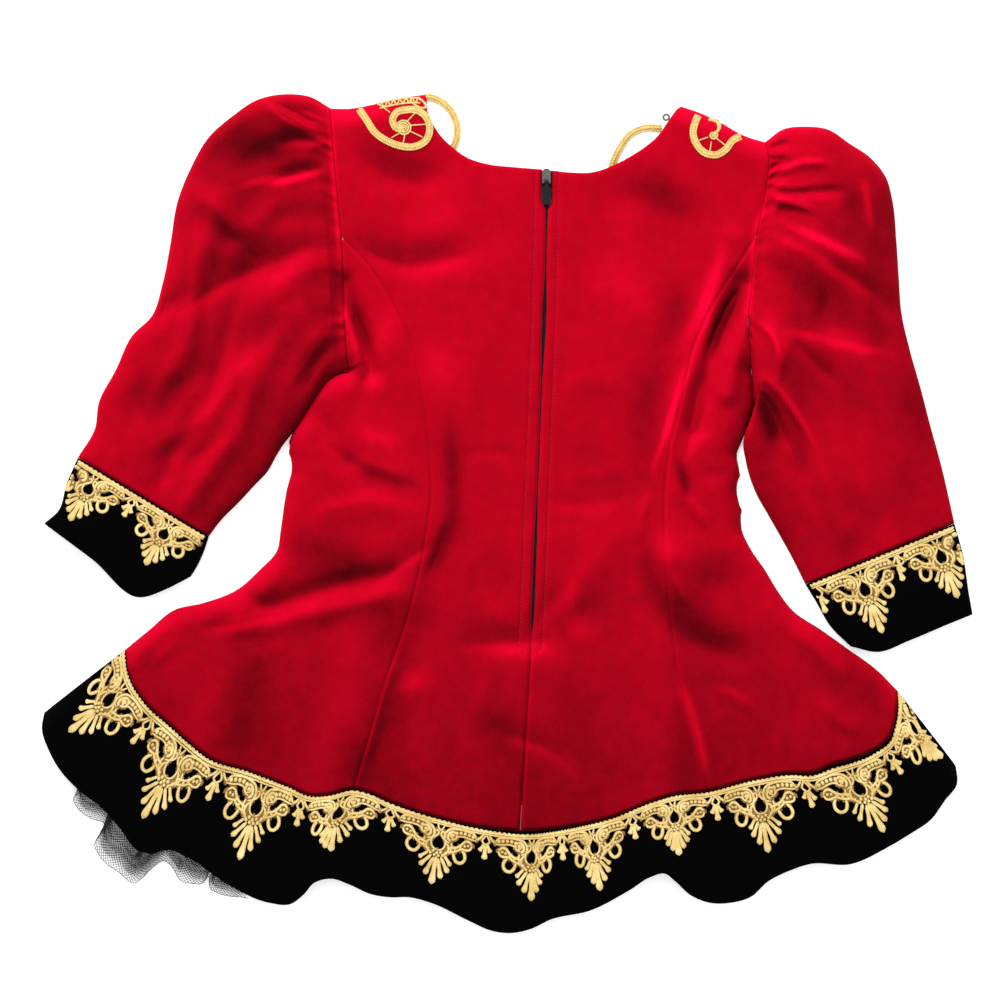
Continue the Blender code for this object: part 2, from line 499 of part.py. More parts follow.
def back_panels(materials, band):
    """The four back panels. Their seams share points, and their hems share the band's."""
    red = materials["red velvet"]
    rows = np.array(PANEL_ROWS)
    turn = rows[ARMHOLE_TURN_ROW]
    underarm = (rows[UNDERARM_ROW] - turn) / (1 - turn)
    made = {}
    grids = {}
    for side, shoulder, neck, upper, lower, princess, outer in (
            ("left", SHOULDER_LEFT, NECK_LEFT, ARMHOLE_LEFT_UPPER, ARMHOLE_LEFT_LOWER, PRINCESS_LEFT,
             SIDE_LEFT),
            ("right", SHOULDER_RIGHT, NECK_RIGHT, ARMHOLE_RIGHT_UPPER, ARMHOLE_RIGHT_LOWER,
             PRINCESS_RIGHT, SIDE_RIGHT)):
        shoulder, neck, upper = Curve(shoulder), Curve(neck), Curve(upper)
        lower, princess, outer = Curve(lower), Curve(princess), Curve(outer)
        zip_line = Curve(CENTRE_BACK)
        seam = band.seam
        seam_princess = seam.nearest(princess.points[-1])
        seam_centre = seam.nearest(zip_line.points[-1])
        seam_outer = 0.0 if side == "left" else 1.0

        def top(u):
            u = np.asarray(u, float)[..., None]
            on_shoulder = shoulder.at(u[..., 0] / SHOULDER_SHARE)
            on_neck = neck.at((u[..., 0] - SHOULDER_SHARE) / (1 - SHOULDER_SHARE))
            return np.where(u <= SHOULDER_SHARE, on_shoulder, on_neck)

        def armhole_side(v):
            v = np.asarray(v, float)[..., None]
            on_armhole = upper.at(v[..., 0] / turn)
            on_princess = princess.at((v[..., 0] - turn) / (1 - turn))
            return np.where(v <= turn, on_armhole, on_princess)

        def outer_side(v):
            v = np.asarray(v, float)[..., None]
            on_armhole = lower.at(v[..., 0] / underarm)
            on_side = outer.at((v[..., 0] - underarm) / (1 - underarm))
            return np.where(v <= underarm, on_armhole, on_side)

        centre = panel_grid(top, lambda u: seam.at(seam_princess + u * (seam_centre - seam_princess)),
                            armhole_side, zip_line.at, CENTRE_COLUMNS, rows, "right")
        from_princess = (rows - turn) / (1 - turn)
        side_rows = from_princess[from_princess > 0.01]
        tip = lower.at(0.0)
        side_grid = panel_grid(lambda u: tip + np.zeros_like(u)[..., None],
                               lambda u: seam.at(seam_outer + u * (seam_princess - seam_outer)),
                               outer_side, princess.at, SIDE_COLUMNS, side_rows)
        hem_centre = shares_between(band.seam_share, seam_princess, seam_centre)
        hem_side = shares_between(band.seam_share, seam_outer, seam_princess)
        draw_in(centre, "top", SEAM_GAP / 2)
        draw_in(centre, "left", SEAM_GAP / 2)
        draw_in(centre, "right", slit_half(np.array(rows)))
        draw_in(side_grid, "right", SEAM_GAP / 2)
        draw_in(side_grid, "left", SEAM_GAP / 2)
        grids[side] = centre
        for name, grid, shares_low, pointed in (("back_centre_" + side, centre, hem_centre, False),
                                                ("back_side_" + side, side_grid, hem_side, True)):
            low = seam.at(np.array(shares_low))
            low = low + seam_pull(seam, np.array(shares_low), SEAM_GAP / 2)
            inner = (low[1] - low[0]) / np.hypot(*(low[1] - low[0]))
            low[0] += inner * SEAM_GAP / 2
            inner = (low[-2] - low[-1]) / np.hypot(*(low[-2] - low[-1]))
            low[-1] += inner * SEAM_GAP / 2
            flat = grid.reshape(-1, 2)
            places = np.vstack((flat, low))
            count_rows, count_columns = grid.shape[:2]
            triangles = grid_triangles(count_rows, count_columns)
            last = [(count_rows - 1) * count_columns + c for c in range(count_columns)]
            triangles += join_rows(last, [len(flat) + k for k in range(len(low))])
            if pointed:
                inward = grid[0].mean(axis=0) - tip
                places = np.vstack((places, tip + inward / np.hypot(*inward) * SEAM_GAP * 2))
                triangles += [(len(places) - 1, c, c + 1) for c in range(count_columns - 1)]
            under = back_height(places)
            over = under + wall_of(back_height, places)
            made[name] = sheet_solid(name, places, triangles, under, over, red)
    return made, grids


def shares_between(shares, first, last):
    """The two given shares, with those of the band's columns that lie between them, in their order."""
    clear = 0.002
    inside = np.sort(shares[(shares > min(first, last) + clear) & (shares < max(first, last) - clear)])
    return [first, *(inside if first < last else inside[::-1]), last]


def seam_pull(seam, shares, amount):
    """A small step from the band seam towards the neck, square to the seam."""
    ahead = seam.at(shares + 0.002) - seam.at(shares - 0.002)
    ahead /= np.hypot(*ahead.T)[:, None]
    return np.column_stack((-ahead[:, 1], ahead[:, 0])) * amount


def slit_half(shares):
    """Half the width of the zip slit down the centre back: a slot for the slider, then the slit."""
    share, half = np.array(SLIT_HALF).T
    return np.interp(shares, share, half)


def flat_piece(name, outline, material):
    """A piece of cloth lying flat on the surface."""
    return prism(name, outline, 0.0, WALL, material)


def inside_of(points, amount):
    """A line of points moved square to itself, to the left of its run where amount is positive."""
    ahead = np.gradient(points, axis=0)
    ahead /= np.hypot(*ahead.T)[:, None]
    return points + np.column_stack((-ahead[:, 1], ahead[:, 0])) * amount


def front(materials, band):
    """The front and its hem band, flat on the surface and a little inside the back's outline."""
    def spread(table, count):
        return Curve(table).at(np.linspace(0, 1, count))

    inside, at_armhole = FRONT_INSIDE, FRONT_ARMHOLE_INSIDE
    neck_left = inside_of(spread(NECK_LEFT, 9), -FRONT_TUCK)
    neck_right = inside_of(spread(NECK_RIGHT, 9), FRONT_TUCK)
    seam = inside_of(band.seam.at(np.linspace(0.01, 0.99, 44)), FRONT_SEAM_INSIDE)
    outline = np.vstack((
        inside_of(spread(SHOULDER_LEFT, 4), -inside)[:-1],
        neck_left[1:-1], neck_right[::-1][1:-1],
        inside_of(spread(SHOULDER_RIGHT, 4), inside)[::-1][1:],
        inside_of(spread(ARMHOLE_RIGHT_UPPER + ARMHOLE_RIGHT_LOWER[1:], 12), -at_armhole)[1:-1],
        np.array([SIDE_RIGHT[0]]) - (at_armhole, 0.0),
        inside_of(spread(SIDE_RIGHT, 18), -inside)[1:-1],
        seam[::-1],
        inside_of(spread(SIDE_LEFT, 18), inside)[::-1][1:-1],
        np.array([SIDE_LEFT[0]]) + (at_armhole, 0.0),
        inside_of(spread(ARMHOLE_LEFT_UPPER + ARMHOLE_LEFT_LOWER[1:], 12), at_armhole)[::-1][1:-1]))
    made = {"front_panel": flat_piece("front_panel", outline, materials["red velvet"])}
    low_seam = inside_of(band.seam.at(np.linspace(0.01, 0.99, 44)), -FRONT_SEAM_INSIDE)
    hem = inside_of(band.hem.at(np.linspace(0.02, 0.98, 54)), FRONT_TUCK)
    band_outline = np.vstack((low_seam, inside_of(spread(BAND_RIGHT, 5), -inside)[1:-1], hem[::-1],
                              inside_of(spread(BAND_LEFT, 5), inside)[::-1][1:-1]))
    made["hem_band_front"] = flat_piece("hem_band_front", band_outline, materials["black velvet"])
    return made


def hem_band(materials, band):
    """The back hem band, and the lace on it, made from the band's own points."""
    grid = band.places()
    rows, columns = grid.shape[:2]
    grid[0] -= seam_pull(band.seam, band.seam_share, SEAM_GAP / 2)
    places = grid.reshape(-1, 2)
    under = back_height(places)
    over = under + wall_of(back_height, places)
    triangles = grid_triangles(rows, columns)
    made = {"hem_band_back": sheet_solid("hem_band_back", places, triangles, under, over,
                                         materials["black velvet"])}
    keep = lace_cells(band.station, len(LACE_ROWS))
    lift = over + LAYER_GAP
    made["hem_lace"] = sheet_solid("hem_lace", places, keep, lift, lift + LACE_THICK,
                                   materials["gold lace"])
    return made


def across_tube(share, height):
    """Height of a tube's upper side at a share of the way across it."""
    level = 1.0 - np.abs(2 * share - 1) ** TUBE_POWER
    return EDGE_HEIGHT + (height - EDGE_HEIGHT) * np.maximum(level, 0.0) ** (1 / TUBE_POWER)


def under_tube(inset):
    """Height of a tube's underside at a distance in from its edge."""
    near = 1.0 - np.clip(inset / EDGE_ROUND, 0.0, 1.0)
    return EDGE_HEIGHT * (1.0 - np.sqrt(1.0 - near**2))


def tube(name, plan, top_shares, down_shares, height_of, material):
    """A closed cloth tube lying flat: rings of upper and under points, outside and inside.

    plan(across, down) gives points in plan, and height_of(across, down) the upper side.
    """
    top = np.array(top_shares, float)
    rings_out, rings_in = [], []
    for row in range(down_shares.shape[0]):
        down = down_shares[row]
        ends = plan(np.array([0.0, 1.0]), down[[0, -1]])
        wide = float(np.hypot(*(ends[1] - ends[0])))
        insets = np.array(SLEEVE_UNDER)
        under = np.concatenate((1 - insets / wide, UNDER_SHARES, insets[::-1] / wide))
        down_under = np.interp(under, top, down)
        edge = WALL / wide
        upper = height_of(top, down)
        lower = under_tube(np.minimum(under, 1 - under) * wide)
        rings_out.append(np.column_stack((
            plan(np.concatenate((top, under)), np.concatenate((down, down_under))),
            np.concatenate((upper, lower)))))
        top_in, under_in = (edge + (1 - 2 * edge) * share for share in (top, under))
        slope = np.gradient(height_of(top_in, down), top_in * wide)
        thick = WALL * np.minimum(np.sqrt(1 + slope**2), STEEPEST_WALL)
        lower_in = under_tube(np.minimum(under_in, 1 - under_in) * wide) + WALL
        floor_in = under_tube(np.minimum(top_in, 1 - top_in) * wide) + WALL
        upper_in = np.maximum(height_of(top_in, down) - thick, floor_in + INNER_CLEARANCE)
        upper_in[[0, -1]] = (floor_in[[0, -1]] + upper_in[[0, -1]]) / 2
        rings_in.append(np.column_stack((
            plan(np.concatenate((top_in, under_in)), np.concatenate((down, down_under))),
            np.concatenate((upper_in, lower_in)))))
    out, inner = np.array(rings_out), np.array(rings_in)
    rows, count = out.shape[:2]
    faces = []
    half = rows * count
    for r in range(rows - 1):
        for c in range(count):
            a, b = r * count + c, r * count + (c + 1) % count
            d, e = a + count, b + count
            faces += [(a, b, e), (a, e, d), (half + a, half + e, half + b), (half + a, half + d, half + e)]
    for r, flip in ((0, False), (rows - 1, True)):
        for c in range(count):
            a, b = r * count + c, r * count + (c + 1) % count
            pair = [(a, half + a, half + b), (a, half + b, b)]
            faces += [t[::-1] for t in pair] if flip else pair
    points = np.vstack((out.reshape(-1, 3), inner.reshape(-1, 3)))
    volume = sum(np.dot(points[a], np.cross(points[b], points[c])) for a, b, c in faces)
    if volume < 0:
        faces = [t[::-1] for t in faces]
    return solid(name, points, faces, material)


def sleeve(name, materials, armhole, outer, inner, cuff_seam, gathers, folds):
    """A puff sleeve: it leaves the armhole at the body's height, puffs out and narrows to the cuff."""
    armhole, outer, inner, cuff_seam = Curve(armhole), Curve(outer), Curve(inner), Curve(cuff_seam)

    def plan(across, down):
        start = SLEEVE_START / outer.length
        stop = 1.0 - SEAM_GAP / 2 / outer.length
        return patch(armhole.at, cuff_seam.at, outer.at, inner.at, across, start + down * (stop - start))

    def height_of(across, down):
        share, puff = np.array(SLEEVE_PUFF).T
        height = across_tube(across, np.interp(down, share, puff))
        at_body = back_height(armhole.at(across)) + WALL
        away = np.clip(down / SLEEVE_RISE, 0.0, 1.0)
        height = at_body * (1 - away) + height * away
        crest = np.interp(across, SLEEVE_TOP, np.arange(len(SLEEVE_TOP), dtype=float))
        rise = np.zeros_like(height)
        for k, (high, long) in enumerate(gathers):
            ridge = np.clip(1 - np.abs(crest - (2 * k + 1)), 0.0, 1.0)
            fade = np.clip(down / GATHER_START, 0, 1) * np.clip((long - down) / (long * 0.6), 0, 1)
            rise += high * ridge * fade
        for start, end, high, half in folds:
            line = np.array((start, end), float)
            gap = distance_to_line(np.column_stack((across, down)), line)
            rise += high * np.exp(-(gap / half) ** 2) * np.clip(down / FOLD_START, 0, 1)
        return height + rise * np.clip(np.minimum(across, 1 - across) / SLEEVE_EDGE_FADE, 0, 1)

    down_shares = np.tile(np.array(SLEEVE_ROWS)[:, None], (1, len(SLEEVE_TOP)))
    return tube(name, plan, SLEEVE_TOP, down_shares, height_of, materials["red velvet"])


def cuff(side, materials, seam_table, end_table, outer, inner, motifs):
    """A black cuff band, and the lace on its upper side, made from the band's own points."""
    seam, end, outer, inner = Curve(seam_table), Curve(end_table), Curve(outer), Curve(inner)
    stations, depths, offsets = [], [], []
    for k, (middle, depth) in enumerate(motifs):
        for station, share in zip(LACE_PITCH_STATIONS, LACE_DEPTH_AT):
            place = (middle + station * CUFF_PITCH) / seam.length
            clear = CUFF_EDGE_SHARE + CUFF_LACE_CLEAR < place < 1 - CUFF_EDGE_SHARE - CUFF_LACE_CLEAR
            if clear and not (station == 0.5 and k == 0):
                stations.append(place)
                depths.append(depth * share)
                offsets.append(station)
    top = np.array([0.0, CUFF_EDGE_SHARE, *stations, 1 - CUFF_EDGE_SHARE, 1.0])
    long = np.interp(top, (0, 1), (outer.length, inner.length))
    share_depth = np.interp(top, stations, depths) / (long + CUFF_END_BOW)
    share_depth = np.clip(share_depth, *CUFF_LACE_SHARES)
    down = [row * share_depth for row in LACE_ROWS] + [np.ones_like(top)]
    down_shares = np.array(down)

    def plan(across, down):
        start = SEAM_GAP / 2 / outer.length
        return patch(seam.at, end.at, outer.at, inner.at, across, start + down * (1 - start))

    def height_of(across, down):
        return across_tube(across + 0 * down, CUFF_HEIGHT)

    made = {"cuff_band_" + side: tube("cuff_band_" + side, plan, top, down_shares, height_of,
                                      materials["black velvet"])}
    across = np.tile(top[1:-1], (len(LACE_ROWS), 1))
    rows = down_shares[:len(LACE_ROWS), 1:-1]
    places = plan(across, rows).reshape(-1, 2)
    under = across_tube(across, CUFF_HEIGHT).reshape(-1) + LAYER_GAP
    keep = lace_cells(np.array([0.45, *offsets, 0.45]), len(LACE_ROWS))
    name = "cuff_lace_" + side
    made[name] = sheet_solid(name, places, keep, under, under + LACE_THICK, materials["gold lace"])
    return made


def highest_under(pieces, places, reach):
    """The highest point of the given pieces near each place, in mm."""
    found = np.full(len(places), -1.0)
    for piece in pieces:
        points = [vertex.co / MM for vertex in piece.data.vertices]
        faces = [tuple(face.vertices) for face in piece.data.polygons]
        tree = BVHTree.FromPolygons(points, faces)
        for k, (x, y) in enumerate(places):
            for dx, dy in ((0, 0), (reach, 0), (-reach, 0), (0, reach), (0, -reach)):
                hit = tree.ray_cast(Vector((x + dx, y + dy, 200.0)), Vector((0, 0, -1)))
                if hit[0] is not None:
                    found[k] = max(found[k], hit[0].z)
    return found


def braid(name, route, material, height_of, rosette=0.0):
    """A flat gold braid along a route, lying on what is under it, with a round end if asked."""
    curve = Curve(route)
    count = max(4, int(curve.length / BRAID_STEP))
    shares = np.linspace(0, 1, count + 1)
    middle = curve.at(shares)
    ahead = curve.at(shares + 0.01) - curve.at(shares - 0.01)
    ahead /= np.hypot(*ahead.T)[:, None]
    square = np.column_stack((-ahead[:, 1], ahead[:, 0]))
    half = np.full(count + 1, BRAID_WIDE / 2)
    if rosette:
        half[-2:] = (rosette, rosette * 0.6)
    rim = half[:, None]
    inner = rim * BRAID_CROWN_SHARE
    places = np.stack((middle + square * rim, middle + square * inner,
                       middle - square * inner, middle - square * rim), axis=1)
    flat = places.reshape(-1, 2)
    under = height_of(flat)
    crown = np.tile((BRAID_EDGE_THICK, BRAID_THICK, BRAID_THICK, BRAID_EDGE_THICK), count + 1)
    return sheet_solid(name, flat, grid_triangles(count + 1, 4), under, under + crown, material)


def braids(materials, panels):
    """The braids on the shoulders, seated on their panel, and the two that lie inside the neck."""
    gold = materials["gold lace"]
    made = {}
    for side, routes in (("left", (("shoulder_braid_left", SHOULDER_BRAID_LEFT, 4.6),
                                   ("shoulder_edging_left", SHOULDER_EDGING_LEFT, 0.0))),
                         ("right", (("shoulder_braid_right", SHOULDER_BRAID_RIGHT, 0.0),
                                    ("shoulder_drop_right", SHOULDER_DROP_RIGHT, 3.4)))):
        panel = panels["back_centre_" + side]
        for name, route, rosette in routes:
            made[name] = braid(name, route, gold,
                               lambda places: highest_under([panel], places, BRAID_FOOT) + LAYER_GAP,
                               rosette=rosette)
    for name, route in (("neck_braid_left", NECK_BRAID_LEFT), ("neck_braid_right", NECK_BRAID_RIGHT)):
        made[name] = braid(name, route, gold, lambda places: np.zeros(len(places)))
    return made


def net(materials, band):
    """The net underskirt: flat between the layers, and ruffled where it shows past the hem."""
    count = NET_WAVES * 4
    shares = np.linspace(NET_FROM, NET_TO, count + 1)
    hem = band.hem.at(shares)
    ahead = band.hem.at(shares + 0.004) - band.hem.at(shares - 0.004)
    ahead /= np.hypot(*ahead.T)[:, None]
    inward = np.column_stack((-ahead[:, 1], ahead[:, 0]))
    window = np.ones(2 * NET_SMOOTH + 1) / (2 * NET_SMOOTH + 1)
    smooth = np.array([np.convolve(np.pad(inward[:, k], NET_SMOOTH, mode="edge"), window, "valid")
                       for k in (0, 1)]).T
    smooth /= np.hypot(*smooth.T)[:, None]
    ends = np.clip(np.minimum(shares - NET_FROM, NET_TO - shares) / NET_TAPER, 0.0, 1.0)
    wave = np.sin(np.arange(count + 1) / 4 * 2 * math.pi)
    steps = ((NET_INSIDE, 0.0), (NET_FLAT_TO, 0.1), (0.0, 0.5), (-NET_PAST * 0.5, 0.8), (-NET_PAST, 1.0))
    places, under = [], []
    for step, ruffle in steps:
        push = step if step > 0 else step * (NET_END_SHARE + (1 - NET_END_SHARE) * ends)
        push = push - NET_WAVE_OUT * wave * ruffle * (1 if step < 0 else 0)
        places.append(hem + smooth * np.reshape(push, (-1, 1)))
        under.append(FRONT_TOP + NET_WAVE_HIGH * (1 + wave) * ruffle)
    flat = np.array(places).reshape(-1, 2)
    under = np.array(under).reshape(-1)
    triangles = grid_triangles(len(steps), count + 1)
    return {"underskirt_net": sheet_solid("underskirt_net", flat, triangles, under, under + NET_THICK,
                                          materials["black net"])}


def neck_eye(materials):
    """The small metal eye sewn to the right neck edge: a wire ring beside the panel's edge."""
    around, tube_sides = 14, 6
    points, faces = [], []
    for a in range(around):
        turn = 2 * math.pi * a / around
        for b in range(tube_sides):
            roll = 2 * math.pi * b / tube_sides
            reach = EYE_RING + EYE_WIRE * math.cos(roll)
            points.append((EYE_AT[0] + reach * math.cos(turn), EYE_AT[1] + reach * math.sin(turn),
                           EYE_LEVEL + EYE_WIRE * math.sin(roll)))
            faces.append((a * tube_sides + b, (a + 1) % around * tube_sides + b,
                          (a + 1) % around * tube_sides + (b + 1) % tube_sides,
                          a * tube_sides + (b + 1) % tube_sides))
    return {"neck_eye": solid("neck_eye", points, faces, materials["nickel"])}


def box_points(low, high):
    """The corners of a box, in the order that box_faces counts on."""
    return [(x, y, z) for x in (low[0], high[0]) for y in (low[1], high[1]) for z in (low[2], high[2])]


def box_faces():
    """The six sides of such a box, facing outwards."""
    return [(0, 1, 3, 2), (4, 6, 7, 5), (0, 4, 5, 1), (2, 3, 7, 6), (0, 2, 6, 4), (1, 5, 7, 3)]


def zip_parts(materials, grids):
    """Zip tape and chain under the slit, the slider at the top, and its hinged pull."""
    left, right = grids["left"], grids["right"]
    places = np.array([[left[k, -2], left[k, -1], right[k, -1], right[k, -2]] for k in range(ZIP_ROWS)])
    flat = places.reshape(-1, 2)
    over = back_height(flat) - LAYER_GAP
    made = {"zip_tape": sheet_solid("zip_tape", flat, grid_triangles(ZIP_ROWS, 4),
                                    over - ZIP_TAPE_THICK, over, materials["zip black"])}
    x, y = PIVOT
    footprint = np.array([(x + dx, y + dy) for dx in (-4, 0, 4) for dy in (-2, 4, SLIDER_LONG)])
    bottom = float(back_height(footprint).max()) + SLIDER_SEAT
    top = bottom + SLIDER_THICK
    pivot_z = top + EYE_OUTER + LAYER_GAP
    half = SLIDER_WIDE / 2
    lug_low = y - PIN_RADIUS - LUG_ROUND
    lug_high = y + PIN_RADIUS + LUG_ROUND
    lug_inner = half - LUG_THICK
    nose_in, nose_back = SLIDER_NOSE
    end = y + SLIDER_LONG
    profile = [(-half, lug_low), (half, lug_low), (half, end - nose_back),
               (half - nose_in, end), (-half + nose_in, end), (-half, end - nose_back)]
    body = prism("zip_slider", [(x + px, py) for px, py in profile], bottom, top, materials["nickel"])
    for sign in (-1, 1):
        inner, outer = sorted((sign * lug_inner, sign * half))
        add_box(body, (x + inner, lug_low + 0.02, top - 0.5),
                (x + outer, lug_high, pivot_z + PIN_RADIUS + LUG_CAP))
    add_pin(body, (x, y, pivot_z), PIN_RADIUS, lug_inner + 0.4)
    made["zip_slider"] = body
    made["zip_pull"] = pull_tab(materials["zip black"], (x, y, pivot_z))
    return made


def prism(name, outline, low, high, material):
    """An upright prism on an outline in plan."""
    places = np.array(outline, float)
    triangles = tessellate_polygon([[Vector((px, py, 0)) for px, py in places]])
    return sheet_solid(name, places, triangles, np.full(len(places), low), np.full(len(places), high),
                       material)


def cutter(name, points, faces):
    """A helper solid for a Boolean, in mm, left out of the build."""
    mesh = bpy.data.meshes.new(name)
    mesh.from_pydata([tuple(np.array(p) * MM) for p in points], [], faces)
    mesh.update()
    made = bpy.data.objects.new(name, mesh)
    bpy.context.scene.collection.objects.link(made)
    made.hide_render = True
    made.display_type = "WIRE"
    return made


def boolean(target, helper, operation):
    """Join a helper solid to its target, or cut it away."""
    step = target.modifiers.new(helper.name, "BOOLEAN")
    step.operation = operation
    step.object = helper
    step.solver = "EXACT"


def add_box(target, low, high):
    """A box between two corners, joined to its solid."""
    helper = cutter("join_" + target.name, box_points(low, high), box_faces())
    boolean(target, helper, "UNION")


def add_pin(target, centre, radius, half_long):
    """A round pin along X, joined to its solid."""
    sides = 12
    points, faces = [], []
    for sign in (-1, 1):
        for k in range(sides):
            angle = 2 * math.pi * (k + 0.5) / sides
            points.append((centre[0] + sign * half_long, centre[1] + radius * math.cos(angle),
                           centre[2] + radius * math.sin(angle)))
    for k in range(sides):
        n = (k + 1) % sides
        faces.append((k, n, sides + n, sides + k))
    faces.append(tuple(range(sides))[::-1])
    faces.append(tuple(range(sides, 2 * sides)))
    boolean(target, cutter("pin_" + target.name, points, faces), "UNION")


def pull_tab(material, pivot):
    """The zip pull: an eye round the slider's pin, a neck, and a wider tab, drooping a little."""
    sides = 14
    angles = [2 * math.pi * k / sides for k in range(sides)]
    ring_out = [(EYE_OUTER * math.cos(a), EYE_OUTER * math.sin(a)) for a in angles]
    ring_in = [(EYE_INNER * math.cos(a), EYE_INNER * math.sin(a)) for a in angles]
    half = PULL_NECK_WIDE / 2
    points, faces = [], []
    for sx in (-half, half):
        points += [(sx, y, z) for y, z in ring_out] + [(sx, y, z) for y, z in ring_in]
    span = 2 * sides
    for k in range(sides):
        n = (k + 1) % sides
        faces.append((k, k + sides, n + sides, n))
        faces.append((span + k, span + n, span + n + sides, span + k + sides))
        faces.append((k, n, span + n, span + k))
        faces.append((sides + k, span + sides + k, span + sides + n, sides + n))

    def placed(local):
        lx, ly, lz = local
        y = ly * math.cos(PULL_DROOP) - lz * math.sin(PULL_DROOP)
        z = ly * math.sin(PULL_DROOP) + lz * math.cos(PULL_DROOP)
        return (pivot[0] + lx, pivot[1] + y, pivot[2] + z)

    body = solid("zip_pull", [placed(p) for p in points], faces, material)
    low, high = -PULL_THICK / 2, PULL_THICK / 2
    neck = cutter("pull_neck", [placed(p) for p in box_points((-half + 0.05, -PULL_TAB_FROM - 0.5, low),
                                                              (half - 0.05, -PULL_NECK_FROM, high))],
                  box_faces())
    wide = PULL_WIDE / 2
    outline = [(-half, -PULL_TAB_FROM), (-wide, -PULL_TAB_FROM - PULL_TAPER),
               (-wide, -PULL_LONG + PULL_CORNER), (-wide + PULL_CORNER, -PULL_LONG),
               (wide - PULL_CORNER, -PULL_LONG), (wide, -PULL_LONG + PULL_CORNER),
               (wide, -PULL_TAB_FROM - PULL_TAPER), (half, -PULL_TAB_FROM)]
    count = len(outline)
    tab_points = [placed((x, y, low - PULL_SKIN)) for x, y in outline]
    tab_points += [placed((x, y, high + PULL_SKIN)) for x, y in outline]
    tab_faces = [tuple(range(count))[::-1], tuple(range(count, 2 * count))]
    tab_faces += [(k, (k + 1) % count, count + (k + 1) % count, count + k) for k in range(count)]
    tab = cutter("pull_tab", tab_points, tab_faces)
    for helper in (neck, tab):
        outward(helper)
        boolean(body, helper, "UNION")
    outward(body)
    return body


def outward(item):
    """Turn every face of a closed mesh to point out."""
    work = bmesh.new()
    work.from_mesh(item.data)
    bmesh.ops.recalc_face_normals(work, faces=work.faces)
    work.to_mesh(item.data)
    work.free()


def build():
    """The whole dress, piece by piece."""
    clear_scene()
    materials = {
        "red velvet": finish("red velvet", RED_VELVET, 0.8),
        "black velvet": finish("black velvet", BLACK_VELVET, 0.85),
        "gold lace": finish("gold lace", GOLD_LACE, 0.5, 0.3),
        "black net": finish("black net", BLACK_NET, 0.7),
        "zip black": finish("zip black", ZIP_BLACK, 0.45),
        "nickel": finish("nickel", NICKEL, 0.3, 1.0),
    }
    band = Band()
    panels, grids = back_panels(materials, band)
    front(materials, band)
    hem_band(materials, band)
    sleeve("sleeve_left", materials, ARMHOLE_LEFT_UPPER + ARMHOLE_LEFT_LOWER[1:], SLEEVE_LEFT_OUTER,
           SLEEVE_LEFT_INNER, CUFF_LEFT_SEAM, GATHERS_LEFT, SLEEVE_FOLDS_LEFT)
    sleeve("sleeve_right", materials, ARMHOLE_RIGHT_UPPER + ARMHOLE_RIGHT_LOWER[1:], SLEEVE_RIGHT_OUTER,
           SLEEVE_RIGHT_INNER, CUFF_RIGHT_SEAM, GATHERS_RIGHT, SLEEVE_FOLDS_RIGHT)
    cuff("left", materials, CUFF_LEFT_SEAM, CUFF_LEFT_END, CUFF_LEFT_OUTER, CUFF_LEFT_INNER,
         CUFF_MOTIFS_LEFT)
    cuff("right", materials, CUFF_RIGHT_SEAM, CUFF_RIGHT_END, CUFF_RIGHT_OUTER, CUFF_RIGHT_INNER,
         CUFF_MOTIFS_RIGHT)
    braids(materials, panels)
    net(materials, band)
    neck_eye(materials)
    zip_parts(materials, grids)


build()
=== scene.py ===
"""A child's velvet costume dress with lace trim, laid face down: its cloth, lace, braid, net and zip.

Each section makes one kind of piece, in the order in which the dress is put together. Tables are in
millimetres in the frame of the CAD model: +X to the right, +Y towards the neck, +Z up from the surface.
"""

import bpy
import numpy as np
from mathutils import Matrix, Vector


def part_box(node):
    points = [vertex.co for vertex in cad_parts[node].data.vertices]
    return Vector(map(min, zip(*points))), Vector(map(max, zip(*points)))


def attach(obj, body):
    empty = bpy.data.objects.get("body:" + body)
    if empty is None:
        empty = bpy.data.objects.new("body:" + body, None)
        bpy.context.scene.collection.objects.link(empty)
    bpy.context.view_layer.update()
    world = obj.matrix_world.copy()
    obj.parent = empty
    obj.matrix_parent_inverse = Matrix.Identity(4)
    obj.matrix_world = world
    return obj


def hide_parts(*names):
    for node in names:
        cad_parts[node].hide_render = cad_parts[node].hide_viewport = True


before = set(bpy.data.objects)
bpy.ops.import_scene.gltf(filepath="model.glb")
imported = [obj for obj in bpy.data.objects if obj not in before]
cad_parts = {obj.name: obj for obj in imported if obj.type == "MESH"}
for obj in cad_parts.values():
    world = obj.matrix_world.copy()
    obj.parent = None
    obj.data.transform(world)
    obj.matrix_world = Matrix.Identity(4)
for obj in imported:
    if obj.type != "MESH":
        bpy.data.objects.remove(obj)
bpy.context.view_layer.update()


# CENTRE BACK PANELS
# Two panels of crimson polyester velvet, cut from shoulder to hem band and sewn to the side panels along
# the princess seams. The loft of the net underskirt and the front below keeps them up in soft folds.
# Wall of the CAD's cloth, velvet as drawn here, upper side of the front cloth, loft of the back over it at
# the bodice and at the skirt, and the width over which the closed edges roll down
WALL = 1.5
VELVET_THICK = 1.2
FRONT_TOP = 1.8
BODICE_LOFT, SKIRT_LOFT = 8.2, 9.4
SIDE_ROUND = 17.0
CENTRE_BACK = ((30, 264), (28, 164), (25, 87), (22, 10), (19, -67), (15, -144), (9, -244.5))
NECK_LEFT = ((-63, 323), (-63, 310), (-58, 299), (-52, 290), (-45, 283), (-31, 273), (-14, 268),
             (5, 266), (30, 264))
NECK_RIGHT = ((132, 314), (126, 306), (120, 297), (114, 289), (107, 283), (95, 275), (84, 269),
              (64, 262), (47, 262), (30, 264))
SHOULDER_LEFT = ((-137, 312), (-122, 312), (-105, 315), (-84, 320), (-63, 323))
SHOULDER_RIGHT = ((198, 286), (182, 291), (164, 301), (147, 309), (132, 314))
